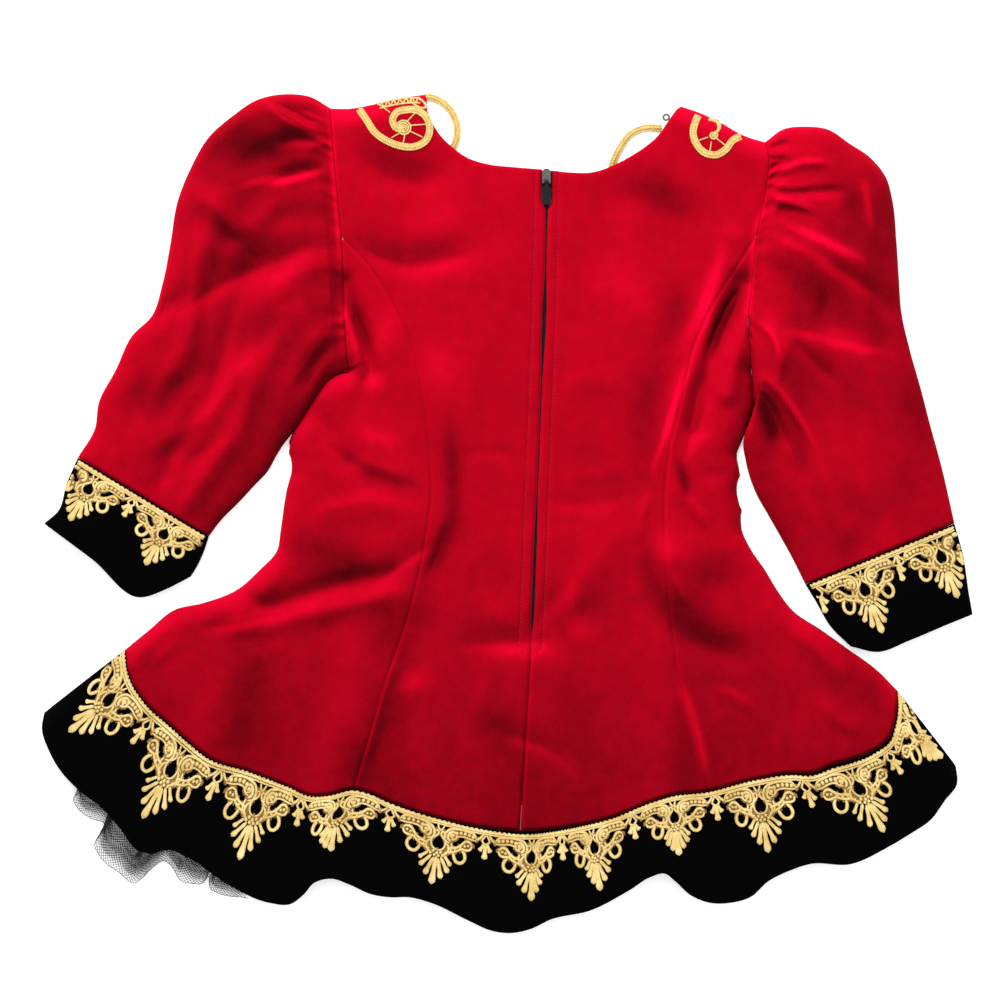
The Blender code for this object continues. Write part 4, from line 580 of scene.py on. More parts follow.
# Lace on the hem: seam point above each motif's middle, its tip, and how far its top edge lies below the
# seam. The band's ends are given in motif numbers.
HEM_MOTIFS = (((-296, -132), (-340, -166), 3.5), ((-251, -181), (-286, -232), 4.0),
              ((-189, -212), (-209, -266), 2.4), ((-126, -220), (-135, -260), 3.6),
              ((-52, -238), (-61, -285), 3.0), ((18, -247), (19, -298), 5.0),
              ((64, -246), (74, -290), 3.2), ((126, -219), (131, -263), 3.4),
              ((191, -212), (202, -261), 3.0), ((260, -198), (288, -246), 5.5),
              ((305, -151), (340, -182), 4.0))
BAND_FROM, BAND_TO = -0.4, 10.29
BAND_GRID, LOW_BAND_GRID = (46, 420), (16, 240)
BLACK_NAP = 0.45
black_velvet = velvet("black polyester velvet, cut pile",
                      ((0.0, "#000000"), (0.5, "#010101"), (0.8, "#030304"), (1.0, "#0C0C0E")),
                      0.0, "#8A8A96", 0.35)
hem = Curve(HEM)
numbers = np.arange(len(HEM_MOTIFS))
motif_knots = np.concatenate(([BAND_FROM], numbers, [BAND_TO]))
motif_starts, motif_tips = (np.array([row[k] for row in HEM_MOTIFS], float) for k in (0, 1))
beyond_tips = motif_tips + (motif_tips - motif_starts) * 0.6
seam_at = np.array([0.0] + [seam.nearest(point) for point in motif_starts] + [1.0])
hem_at = np.array([0.0] + [hem.nearest(point) for point in beyond_tips] + [1.0])


def band_edges(position):
    """The points on the seam and on the hem that belong to a place along the band, by motif number."""
    return (seam.at(np.interp(position, motif_knots, seam_at)),
            hem.at(np.interp(position, motif_knots, hem_at)))


def on_band(position, drop):
    """Places on the band: along it by motif number, and down it in mm from the seam towards the hem."""
    start, end = band_edges(position)
    way = end - start
    return start + way / np.linalg.norm(way, axis=-1, keepdims=True) * np.asarray(drop)[..., None]


start, end = band_edges(np.linspace(BAND_FROM, BAND_TO, BAND_GRID[1]))
plan = start[None] + (end - start)[None] * shares(BAND_GRID[0], 0.6)[:, None, None]
flat = plan.reshape(-1, 2)
dip = seam_dip(flat, [plan[0]]) + seam_dip(flat, [plan[-1]], 2.2, 3.0)
points = drawn_down(plan, dip)
band = make_piece("hem_band_upper", points, face_up(points, grid_faces(*BAND_GRID)), black_velvet,
                  values=pile_value_with_painted_light(points, (), BLACK_NAP), wall=VELVET_THICK)
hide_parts("hem_band_back")

rows, columns = LOW_BAND_GRID
low_seam = inside_of(seam.at(np.linspace(0.01, 0.99, columns)), -0.5)
low_hem = inside_of(hem.at(np.linspace(0.02, 0.98, columns)), 8.0)
share = np.linspace(0, 1, rows)[:, None, None]
plan = low_seam[None] * (1 - share) + low_hem[None] * share
points = np.dstack((plan, np.full(plan.shape[:2], FRONT_LEVEL)))
band = make_piece("hem_band_lower", points, face_up(points, grid_faces(rows, columns)), black_velvet,
                  values=np.full(plan.shape[:2], FRONT_NAP), wall=FRONT_THICK)
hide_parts("hem_band_front")


# SLEEVES
# Two long puff sleeves of crimson velvet, gathered by hand into the armholes and narrowing to the cuffs.
# Each is one piece of cloth sewn into a tube, lying flat with its folds pressed by its own weight.
# A tube's section as it lies: power of its arch, height of its side folds, width of their round
ROUND_POWER = 3.0
EDGE_LEVEL = 2.6
EDGE_ROUND = 6.0
# Points across the upper side, insets of the points near the underside's edges, and rows down a sleeve
TUBE_COLUMNS, EDGE_INSETS = 116, (0.5, 1.6, 3.2, 5.5)
SLEEVE_ROWS, CUFF_ROWS = 172, 30
SLEEVE_LEFT_OUTER = ((-137, 312), (-153, 321), (-173, 323), (-193, 319), (-213, 306), (-231, 290),
                     (-245, 266), (-255, 241), (-261, 206), (-267, 176), (-275, 152), (-290, 137),
                     (-303, 110), (-316, 85), (-319, 65), (-332, 43))
SLEEVE_LEFT_INNER = ((-123, 109), (-131, 107), (-137, 104), (-143, 98), (-148, 90), (-154, 81),
                     (-160, 71), (-167, 61), (-174, 52), (-179, 44), (-185, 33), (-197, 20),
                     (-208, 8), (-221, -5), (-231, -18))
SLEEVE_RIGHT_OUTER = ((198, 286), (212, 296), (229, 298), (246, 296), (263, 285), (278, 275),
                      (291, 259), (296, 241), (299, 211), (301, 182), (303, 155), (309, 128),
                      (318, 96), (325, 69), (334, 36), (344, -8))
SLEEVE_RIGHT_INNER = ((187.5, 109), (188.4, 99), (189, 88), (188.6, 80), (185.8, 71), (182.6, 62),
                      (181, 53), (182.6, 42), (186, 28), (191, 15), (200, -1), (208, -15), (218, -33),
                      (229, -55))
CUFF_SEAM = {"left": ((-332, 43), (-231, -18)), "right": ((344, -8), (229, -55))}
# Height of the sleeve at its middle by the share of its length, smoothed where it is used
PUFF = ((0.0, 11.0), (0.07, 19.0), (0.18, 26.5), (0.32, 24.5), (0.5, 18.0), (0.7, 13.5), (0.88, 12.2),
        (1.0, 11.5))
# Gathers of each cap, at even steps across it: height, and how far down the sleeve they reach
GATHERS = {"left": ((2.4, .34), (4.4, .46), (3.4, .30), (5.0, .52), (3.8, .36), (4.8, .44), (3.0, .30),
                    (4.0, .38), (2.2, .26)),
           "right": ((2.0, .30), (3.8, .42), (4.6, .34), (3.2, .48), (5.0, .40), (3.6, .30), (4.4, .46),
                     (3.0, .34), (2.4, .28))}
# Where the troughs and crests of the gathers lie across a cap, in turn
GATHER_AT = (0.0, 0.02, 0.07, 0.13, 0.19, 0.25, 0.31, 0.37, 0.43, 0.49, 0.55, 0.61, 0.67, 0.73, 0.79,
             0.86, 0.93, 0.98, 1.0)
# Long folds in shares across and down the sleeve: height, half width, route
LONG_FOLDS = {"left": ((3.0, .07, ((.20, .25), (.30, .75))), (-2.4, .06, ((.48, .30), (.55, .90))),
                       (3.4, .07, ((.74, .35), (.78, .90))), (-3.0, .07, ((.92, .20), (.62, .42)))),
              "right": ((3.0, .07, ((.22, .28), (.24, .80))), (-2.4, .06, ((.45, .35), (.42, .90))),
                        (3.2, .07, ((.70, .30), (.66, .88))), (-4.2, .08, ((.90, .22), (.72, .62))))}
# Creases of the sleeves, and strokes of painted shade, highlight and nap, given as those of the back are
SLEEVE_CREASES = (
    (2.4, 2.2, 8, ((-194, 320), (-184, 313), (-168, 303), (-154, 295), (-141, 290))),
    (-2, 7, 3, ((-185, 320), (-168, 311), (-153, 303), (-141, 300))),
    (1, 2, 3, ((-161, 309), (-150, 304), (-138, 298))),
    (-3, 8, 5, ((-176, 285), (-161, 288), (-148, 286))),
    (1.2, 3, 4, ((-156, 280), (-147, 282), (-137, 283))),
    (-2.0, 24, 18, ((-234, 278), (-207, 273), (-176, 273), (-151, 273))),
    (-4, 7, 2.4, ((-184, 253), (-168, 258), (-154, 262), (-140, 267))),
    (1.6, 2.2, 10, ((-210, 243), (-198, 249), (-180, 253), (-161, 256), (-141, 262))),
    (2.2, 10, 8, ((-250, 246), (-234, 242), (-221, 232), (-210, 219), (-198, 215))),
    (-2, 8, 10, ((-247, 229), (-231, 221), (-218, 210), (-194, 205))),
    (-1.6, 8, 8, ((-185, 218), (-176, 224), (-165, 235))),
    (-3.6, 17, 9, ((-264, 147), (-245, 162), (-221, 178), (-190, 190), (-161, 203), (-136, 215))),
    (1.8, 12, 12, ((-214, 144), (-198, 159), (-174, 175), (-147, 190), (-134, 196))),
    (-2, 9, 9, ((-290, 152), (-275, 153), (-258, 161), (-241, 170))),
    (-2.2, 16, 14, ((-308, 69), (-276, 87), (-239, 109), (-207, 121))),
    (2, 12, 9, ((-299, 42), (-268, 56), (-238, 72), (-221, 90), (-202, 115), (-179, 147))),
    (-1, 6, 7, ((-256, 33), (-233, 47), (-214, 69))),
    (-1.8, 8, 6, ((-156, 109), (-142, 124), (-131, 132))),
    (1.6, 8, 5, ((-173, 93), (-156, 116), (-144, 133), (-133, 147))),
    (-1.2, 7, 8, ((-191, 118), (-184, 135), (-171, 150))),
    (-1.6, 3, 3, ((199, 280), (208, 283), (218, 285))),
    (-1.4, 2.2, 2.2, ((199, 273), (208, 272), (217, 273))),
    (-2.2, 3, 3.2, ((199, 266), (209, 267), (222, 269))),
    (2, 2.2, 5, ((200, 261), (211, 265), (226, 269), (248, 269))),
    (-1.2, 2, 2, ((199, 256), (208, 258), (218, 259))),
    (1.4, 2, 3, ((200, 253), (209, 252), (218, 249), (234, 251))),
    (-1.2, 2, 2, ((199, 250), (206, 249), (215, 246))),
    (-3, 3.4, 4, ((200, 244), (213, 246), (231, 246), (260, 247))),
    (2, 2.2, 4, ((200, 243), (211, 241), (224, 236), (238, 230))),
    (-1.4, 2, 2, ((199, 239), (206, 236), (215, 233))),
    (-3.6, 4, 5, ((201, 231), (213, 232), (227, 230), (234, 224))),
    (2.8, 2.6, 7, ((201, 232), (211, 221), (224, 215), (244, 206), (264, 195), (281, 182))),
    (-2.2, 5, 5, ((241, 193), (257, 184), (275, 172), (289, 162))),
    (2.6, 6, 5, ((197, 216), (212, 207), (229, 198), (244, 186), (260, 170))),
    (-3.4, 14, 16, ((201, 193), (221, 182), (241, 164), (263, 147))),
    (-1.8, 10, 10, ((277, 164), (294, 158), (306, 152))),
    (-2.4, 16, 4, ((206, 144), (224, 142), (248, 136), (277, 130), (301, 126))),
    (1.4, 6, 14, ((224, 138), (248, 132), (275, 126))),
    (-1.6, 4, 4, ((217, 135), (228, 122), (238, 112), (254, 98))),
    (1.8, 4, 5, ((189, 150), (200, 141), (208, 124), (208, 98))),
    (3, 6, 3, ((186, 99), (197, 102), (208, 93), (218, 79), (231, 58))),
    (-3.6, 3, 9, ((187, 95), (195, 89), (203, 78), (211, 59), (217, 44))),
    (1.4, 5, 6, ((272, 258), (277, 236), (280, 213), (280, 199))),
    (-1.6, 8, 8, ((263, 249), (264, 230), (268, 210))),
    (-1.2, 9, 9, ((260, 102), (271, 79), (280, 55))),
    (-1, 9, 10, ((206, 49), (224, 25), (244, -2))),
    (1.2, 12, 12, ((244, 56), (263, 25), (280, -4))),
)
SLEEVE_SHADE_AND_NAP = (
    (-0.26, 30, ((-250, 258), (-220, 282), (-190, 296), (-150, 300))),
    (-0.16, 14, ((-226, 284), (-196, 282), (-164, 278), (-146, 276))),
    (0.30, 1.7, ((-190, 319), (-174, 305), (-157, 296), (-143, 292))),
    (0.24, 2.0, ((-190, 249), (-172, 255), (-157, 259), (-142, 263))),
    (-0.06, 16, ((-244, 226), (-216, 216), (-196, 204), (-160, 204))),
    (-0.09, 16, ((-265, 150), (-233, 173), (-198, 193), (-145, 207))),
    (-0.14, 26, ((-252, 236), (-238, 258), (-214, 280), (-180, 292))),
    (0.16, 12, ((-190, 159), (-168, 175), (-144, 189))),
    (0.14, 10, ((-261, 58), (-233, 75), (-213, 99), (-190, 136))),
    (-0.12, 16, ((-302, 76), (-276, 89), (-241, 109))),
    (-0.05, 12, ((-168, 98), (-150, 116), (-133, 135))),
    (-0.14, 30, ((212, 288), (246, 282), (274, 258), (290, 220))),
    (0.32, 1.7, ((203, 261), (214, 266), (228, 269), (250, 269))),
    (0.24, 1.7, ((201, 253), (211, 251), (221, 249))),
    (0.34, 1.8, ((201, 243), (212, 240), (224, 236), (237, 231))),
    (-0.26, 6, ((199, 231), (216, 229), (236, 223))),
    (0.20, 4, ((212, 218), (231, 210), (254, 200), (276, 188))),
    (0.30, 1.9, ((214, 220), (240, 208), (268, 193))),
    (0.18, 6, ((198, 213), (217, 203), (237, 189), (256, 172))),
    (-0.16, 16, ((196, 194), (223, 176), (250, 152))),
    (0.20, 12, ((206, 140), (232, 136), (262, 130), (288, 118))),
    (0.12, 30, ((214, 60), (250, 50), (290, 40))),
    (0.3, 1.8, ((187, 150), (198, 142), (205, 130), (207, 116))),
    (0.34, 2.4, ((190, 103), (203, 97), (216, 83), (228, 66), (240, 44))),
    (-0.30, 7, ((184, 96), (194, 84), (201, 66), (206, 46))),
    (0.22, 3, ((272, 260), (275, 238), (280, 212))),
    (-0.14, 9, ((258, 254), (264, 230), (268, 202))),
    (-0.12, 14, ((301, 118), (312, 87), (325, 49))),
)


def over_tube(across, height):
    """Height of a flat-lying tube's upper side: a flattened arch, 1 minus a cube, to the power 1/3."""
    level = 1.0 - np.abs(2 * across - 1) ** ROUND_POWER
    return EDGE_LEVEL + (height - EDGE_LEVEL) * np.maximum(level, 0.0) ** (1 / ROUND_POWER)


def flat_tube(plan_of, height_of, downs):
    """Rings of points round a flat-lying tube: its upper side from left to right, then its underside.

    The underside rests on the surface and rises in a quarter circle over its outer 6 mm.
    """
    upper = shares(TUBE_COLUMNS, 0.6)
    ends = plan_of(np.array([[0.0, 1.0]]), downs[:, None])
    wide = np.hypot(*(ends[:, 1] - ends[:, 0]).T)[:, None]
    inset = np.array(EDGE_INSETS)[None] / wide
    middle = np.tile(np.linspace(0.86, 0.14, 6)[None], (len(downs), 1))
    under = np.hstack((1 - inset, middle, inset[:, ::-1]))
    over = np.tile(upper[None], (len(downs), 1))
    across = np.hstack((over, under))
    plan = plan_of(across, downs[:, None])
    top = height_of(over, downs[:, None], plan[:, :len(upper)])
    near = 1.0 - np.clip(np.minimum(under, 1 - under) * wide / EDGE_ROUND, 0.0, 1.0)
    low = 0.05 + EDGE_LEVEL * (1.0 - np.sqrt(1.0 - near**2))
    return np.dstack((plan, np.hstack((top, low)))), len(upper)


def outward_tube(points, faces):
    """Turn a tube's quads outwards, by the sign of the volume that they close in."""
    flat = points.reshape(-1, 3)
    centre = flat.mean(axis=0)
    a, b, c = (flat[faces[:, k]] - centre for k in (0, 1, 2))
    return faces[:, ::-1] if np.einsum("ij,ij->i", a, np.cross(b, c)).sum() < 0 else faces


steps = np.linspace(-0.3, 1.3, 401)
window = np.exp(-(np.linspace(-0.12, 0.12, 61) / 0.055) ** 2)
smooth_puff = np.convolve(np.interp(steps, *np.array(PUFF).T), window / window.sum(), "same")
SLEEVES = {"left": (SLEEVE_LEFT_OUTER, SLEEVE_LEFT_INNER),
           "right": (SLEEVE_RIGHT_OUTER, SLEEVE_RIGHT_INNER)}
for side, tables in SLEEVES.items():
    armhole, cuff_seam = Curve(ARMHOLES[side]), Curve(CUFF_SEAM[side])
    outer, inner = (Curve(table) for table in tables)

    def sleeve_plan(across, down):
        start = -0.1 / outer.length
        return patch(armhole.at, cuff_seam.at, outer.at, inner.at, across,
                     start + np.asarray(down) * (1.0 - start), 1)

    def sleeve_height(across, down, places):
        """The arch at the puff's height, plus gathers as raised cosines, long folds and creases; it
        starts from the body's own height at the armhole seam."""
        down = down + 0 * across
        away = np.clip(down / 0.05, 0.0, 1.0)
        height = over_tube(across, np.interp(down, steps, smooth_puff))
        height = back_top(armhole.at(across)) * (1 - away) + height * away
        crest = np.interp(across, GATHER_AT, np.arange(float(len(GATHER_AT))))
        rise = np.zeros_like(height)
        for k, (high, reach) in enumerate(GATHERS[side]):
            ridge = 0.5 + 0.5 * np.cos(np.pi * np.clip(crest - (2 * k + 1), -1.0, 1.0))
            rise += 0.16 * high * ridge * away * np.clip((reach - down) / (reach * 0.6), 0, 1)
        fine = np.sin(crest * 6.3 + 1.9 * np.sin(crest * 1.7)) * np.exp(-(down / 0.05) ** 2)
        rise += 0.7 * fine * (0.6 + 0.4 * np.sin(crest * 2.3)) * np.clip(down / 0.008, 0, 1)
        spot = np.column_stack((across.ravel(), down.ravel()))
        for high, half, route in LONG_FOLDS[side]:
            gap = off_line(spot, np.array(route, float)).reshape(across.shape)
            rise += high * np.exp(-(gap / half) ** 2) * np.clip(down / 0.1, 0, 1)
        rise += strokes(places.reshape(-1, 2), SLEEVE_CREASES).reshape(across.shape)
        rise *= np.clip(np.minimum(across, 1 - across) / 0.06, 0, 1)
        seams = np.exp(-(down * outer.length / 1.5) ** 2) + np.exp(-((1 - down) * outer.length / 1.6) ** 2)
        return np.maximum(height + rise - 1.1 * seams, 3.0)

    points, upper = flat_tube(sleeve_plan, sleeve_height, shares(SLEEVE_ROWS, 0.45))
    faces = outward_tube(points, grid_faces(*points.shape[:2], wrap=True))
    # Painted shade and highlights from the slope and the strokes on the upper side; an even tone below.
    values = pile_value_with_painted_light(points, SLEEVE_SHADE_AND_NAP + BODY_SHADE_AND_NAP, 0.55)
    values[:, upper:] = 0.5
    sleeve = make_piece("sleeve_cloth_" + side, points, faces, red_velvet, values=values,
                        wall=VELVET_THICK)
    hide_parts("sleeve_" + side)


# CUFFS
# A black velvet band at each wrist, sewn to the end of the sleeve and left open at the wrist edge.
# Height of the band's arch; then its open end, outer edge and inner edge
CUFF_TOP = 11.5
CUFF_EDGES = {"left": (((-358, -8), (-320, -36), (-283, -65), (-262, -58), (-245, -49)),
                       ((-332, 43), (-341, 22), (-347, 2), (-358, -8)),
                       ((-231, -18), (-235, -30), (-240, -41), (-245, -49))),
              "right": (((358, -78), (340, -85), (309, -98), (284, -107), (264, -103)),
                        ((344, -8), (351, -34), (355, -61), (358, -78)),
                        ((229, -55), (237, -68), (248, -87), (264, -103)))}
cuff_sides = {}
for side, tables in CUFF_EDGES.items():
    end, outer, inner = (Curve(table) for table in tables)
    seam_line = Curve(CUFF_SEAM[side])
    cuff_sides[side] = (seam_line.length, outer, inner)

    def cuff_plan(across, down):
        return patch(seam_line.at, end.at, outer.at, inner.at, across, down, 1)

    def cuff_height(across, down, places):
        """The arch of the tube, drawn down at the seam and at the open end."""
        seamed = np.exp(-(down * outer.length / 1.6) ** 2)
        turned = 1.4 * np.exp(-((1 - down) * outer.length / 2.0) ** 2)
        inside = np.clip(np.minimum(across, 1 - across) / 0.05, 0, 1)
        return over_tube(across, CUFF_TOP) - (seamed + turned) * inside

    points, upper = flat_tube(cuff_plan, cuff_height, 0.006 + 0.994 * shares(CUFF_ROWS, 0.6))
    faces = outward_tube(points, grid_faces(*points.shape[:2], wrap=True))
    cuff = make_piece("cuff_" + side, points, faces, black_velvet,
                      values=pile_value_with_painted_light(points, (), BLACK_NAP), wall=VELVET_THICK)
    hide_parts("cuff_band_" + side)


# LACE
# Venise lace in gold rayon thread, embroidered on a cloth that is dissolved away: corded scrolls, loops
# and drops. It is sewn by its corded top edge over the hem band and the cuffs, a little below their seams.
# One motif in mm from its middle and down from the lace's top edge; its mirror image makes the other half.
# A cord's row has its half width and route, and a row of beads has their half width and places.
PITCH, MOTIF_TIP = 78.0, 52.2
CORDS = (
    (1.0, ((31, 8.5), (29, 5), (22, 3.4), (13, 3.6), (6.5, 6), (4.2, 10.5), (5, 14.5), (9, 16.2))),
    (0.8, ((31, 9.5), (26, 9.2), (20, 8.4), (15.5, 9.2), (12.6, 12.2), (9.5, 13.2))),
    (1.2, ((11.5, 5.6), (8, 8), (7, 12), (9.5, 14.6))),
    (1.1, ((27.8, 14), (25, 11.6), (21.5, 12.2), (19.5, 14.6), (16, 17.8), (11, 19.5), (7.5, 20.5))),
    (1.0, ((27.8, 14.4), (26.5, 17.6), (22.6, 18.6), (19.4, 18.4), (16.2, 20.6), (12, 22.6), (8, 23.4))),
    (1.0, ((12.5, 11.8), (9.4, 10.2), (8.8, 7.6), (11.4, 6.4), (14, 8.2), (13.4, 11))),
    (1.35, ((20, 19.5), (22.6, 22.5), (23, 26.5), (20.4, 29.6), (16.8, 29.6), (14.2, 26.4), (13.2, 22.8))),
    (0.8, ((4.2, 9.5), (2.2, 8.2), (1, 10), (2.6, 13), (5.2, 15), (5.6, 18), (3.6, 22.6), (0, 24))),
    (0.9, ((6.2, 16.5), (8.4, 19), (8.8, 22.4), (7, 25.6), (4.6, 26.4))),
    (0.8, ((10.4, 15.4), (11.2, 18.8), (10.4, 22.4), (9.4, 25))),
    (0.7, ((3, 2.8), (0.9, 7.2), (0, 8.4))),
    (0.8, ((39, 3), (36, 9), (39, 11), (42, 9))),
    (0.9, ((31, 8.9), (34, 6.4), (36.6, 3.2))),
)
BEADS = (
    (1.45, ((28, 6.9), (24.6, 6.2), (21, 5.8), (17.4, 5.9), (13.9, 6.9), (11, 9.2))),
    (1.1, ((24.6, 14.8), (21.9, 15.6), (18.2, 17.6), (14.6, 20.2))),
    (1.2, ((0.01, 26.2), (3, 25.2), (1.6, 28.2), (4.8, 27.4), (7.2, 24.6))),
)
# Drops: root, tip, half width of the head
DROPS = (
    (2.9, ((0, 29), (0, 52.2))), (2.4, ((1.6, 30), (6.4, 46))), (2.2, ((3.4, 28.5), (11.4, 40))),
    (1.9, ((6, 26.5), (12.8, 34))), (2.5, ((39, 11), (39, 23.2))), (2.0, ((38, 10.5), (34.2, 17))),
)
ROUND = np.array([(np.cos(a), np.sin(a)) for a in np.arange(6) * np.pi / 3])
# A drop's section: two raised sides of satin stitch with a groove between them
GROOVED = np.array(((-1, 0), (-.85, .6), (-.5, 1), (-.18, .72), (.18, .72), (.5, 1), (.85, .6), (1, 0),
                    (0, -.6)))


def thread_finish(name, dark, middle, light, pitch):
    """Lustrous rayon thread laid side by side: fine twisted ridges over the cord, painted lighter on their
    crests.
    """
    material, tree, shader = finish(name, {"Roughness": 0.5, "Specular IOR Level": 0.45,
                                           "Sheen Weight": 0.12, "Sheen Tint": hex_colour(light)})
    source = add_node(tree, "TexCoord", {}, {})
    ridge = add_node(tree, "TexWave", {"wave_type": "BANDS", "bands_direction": "DIAGONAL"},
                     {"Vector": source.outputs["UV"], "Scale": 1.0 / pitch, "Distortion": 0.6,
                      "Detail": 1.0, "Detail Scale": 2.0})
    worn = add_node(tree, "TexNoise", {}, {"Vector": source.outputs["Object"], "Scale": 260.0,
                                           "Detail": 3.0})
    tone_and_shade_value = add_node(tree, "Attribute", {"attribute_name": "tone_and_painted_light"}, {}).outputs["Fac"]
    # Painted highlight and shade: the colour is lighter on the ridges' crests and darker between them.
    level = add_node(tree, "Math", {"operation": "MULTIPLY_ADD"},
                     {0: ridge.outputs["Fac"], 1: 0.40, 2: tone_and_shade_value}).outputs[0]
    level = add_node(tree, "Math", {"operation": "MULTIPLY_ADD"},
                     {0: worn.outputs["Fac"], 1: 0.42, 2: level}).outputs[0]
    colour = ramp(tree, level, ((0.12, dark), (0.55, middle), (0.98, light)))
    tree.links.new(colour, shader.inputs["Base Color"])
    bump = add_node(tree, "Bump", {}, {"Height": ridge.outputs["Fac"], "Strength": 0.6,
                                       "Distance": 0.0002})
    tree.links.new(bump.outputs["Normal"], shader.inputs["Normal"])
    return material


gold_thread = thread_finish("gold rayon thread, satin stitched", "#5C3A0A", "#D8B25C", "#FFF0B4", 0.9)
# The ground stitches are the same thread in darker colours: painted shade between the cords.
shaded_gold_ground = thread_finish("gold rayon thread, ground stitches in painted shade", "#3E280A", "#8A6426", "#BE9848", 0.9)


def bumpy(values, amount, seed):
    """Small fixed unevenness: a sum of two sines of the place."""
    return amount * (np.sin(values * 1.9 + seed) + np.sin(values * 0.83 + 2.1 * seed)) / 2


def sweep(path, half_wide, high, profile):
    """Closed cords carried along many paths at once: the profile's first number goes sideways, square to
    the path in plan, times the half width, and its second upwards, times the height. path is (cords,
    points, 3). Gives the points, the quads, the end caps and the UV in mm along and round."""
    ahead = np.gradient(path, axis=1)
    ahead[..., 2] = 0.0
    ahead /= np.maximum(np.linalg.norm(ahead, axis=-1, keepdims=True), 1e-9)
    square = np.stack((ahead[..., 1], -ahead[..., 0], 0 * ahead[..., 0]), axis=-1)
    up = np.array((0.0, 0.0, 1.0))
    half_wide, high = (np.broadcast_to(size, path.shape[:2])[..., None, None]
                       for size in (half_wide, high))
    around = profile[None, None]
    points = (path[:, :, None] + square[:, :, None] * half_wide * around[..., :1]
              + up * high * around[..., 1:])
    cords, rings, sides = points.shape[:3]
    number = np.arange(cords * rings * sides).reshape(cords, rings, sides)
    side = np.roll(number, -1, axis=2)
    quads = np.stack((number[:, :-1], side[:, :-1], side[:, 1:], number[:, 1:]), axis=-1).reshape(-1, 4)
    caps = np.vstack((number[:, 0, ::-1], number[:, -1]))
    reach = np.linalg.norm(np.diff(path, axis=1), axis=-1)
    along = np.concatenate((np.zeros((cords, 1)), np.cumsum(reach, axis=1)), axis=1)
    uv = np.stack(np.broadcast_arrays(along[..., None], np.arange(sides)[None, None] * 0.8), axis=-1)
    return points.reshape(-1, 3), quads, caps, uv.reshape(-1, 2)


def gather_sweeps(sweeps):
    """Join the points, faces and UVs of several sweeps into one mesh's worth, faces turned outwards."""
    points, faces, uvs, first = [], [], [], 0
    for made, quads, caps, uv in sweeps:
        a, b, d = (made[quads[0, k]] for k in (0, 1, 3))
        centre = made[:caps.shape[1]].mean(axis=0)
        turn = -1 if np.dot(np.cross(b - a, d - a), (a + b) / 2 - centre) < 0 else 1
        points.append(made)
        faces += [quads[:, ::turn] + first, caps[:, ::turn] + first]
        uvs.append(uv)
        first += len(made)
    return np.vstack(points), faces, np.vstack(uvs)


def motif_strokes():
    """The strokes of one motif: its path in the motif's plan, half width and height along it, profile."""
    made = []
    for mirror in (1, -1):
        for half, table in CORDS:
            curve = Curve(table)
            line = curve.at(np.linspace(0, 1, max(5, int(curve.length / 1.15))))
            t = np.linspace(0, 1, len(line))
            size = half * (1 - 0.5 * np.abs(2 * t - 1) ** 8)
            made.append((line * (mirror, 1), size, size * 0.95, ROUND))
        for half, table in BEADS:
            for x, y in table:
                if mirror < 0 and x < 0.1:
                    continue
                t = np.linspace(-1, 1, 6)
                line = np.column_stack((x + 0 * t, y + half * 1.15 * t)) * (mirror, 1)
                size = half * np.sqrt(np.maximum(1 - t**2, 0.03))
                made.append((line, size, size * 1.05, ROUND))
        for half, table in DROPS:
            if mirror < 0 and table[0][0] in (0, 39):
                continue
            root, tip = np.array(table, float)
            t = np.linspace(0, 1, 13)[:, None]
            line = (root * (1 - t) + tip * t) * (mirror, 1)
            t = t[:, 0]
            swell = 0.62 + 0.38 * np.clip((t - 0.45) / 0.35, 0, 1) ** 2
            taper = np.sqrt(np.clip((1.002 - t) / 0.12, 0, 1)) * np.clip((t + 0.05) / 0.2, 0.3, 1)
            size = half * swell * taper
            made.append((line, size, np.maximum(size * 0.62, 0.15), GROOVED))
    return made


def ground_cells():
    """A 1 mm grid in the motif's plan, cut to the cells that lie between two strokes close together."""
    across, down = np.arange(-39, 39.01), np.arange(1.0, 34.01)
    place = np.dstack(np.meshgrid(across[:-1] + 0.5, down[:-1] + 0.5)).reshape(-1, 2)
    close = np.zeros(len(place))
    beads = np.array([point for half, table in BEADS for point in table])
    for mirror in (1, -1):
        mirrored = place * (mirror, 1)
        for half, table in CORDS:
            close += off_line(mirrored, Curve(table).at(np.linspace(0, 1, 20))) < half + 1.25
        close += (np.abs(mirrored[:, None] - beads[None]).max(axis=-1) < 2.2).any(axis=1)
    keep = (close >= 2).reshape(len(down) - 1, len(across) - 1)
    grid = np.dstack(np.meshgrid(across, down))
    quads = grid_faces(*grid.shape[:2]).reshape(*keep.shape, 4)[keep]
    return grid.reshape(-1, 2), quads


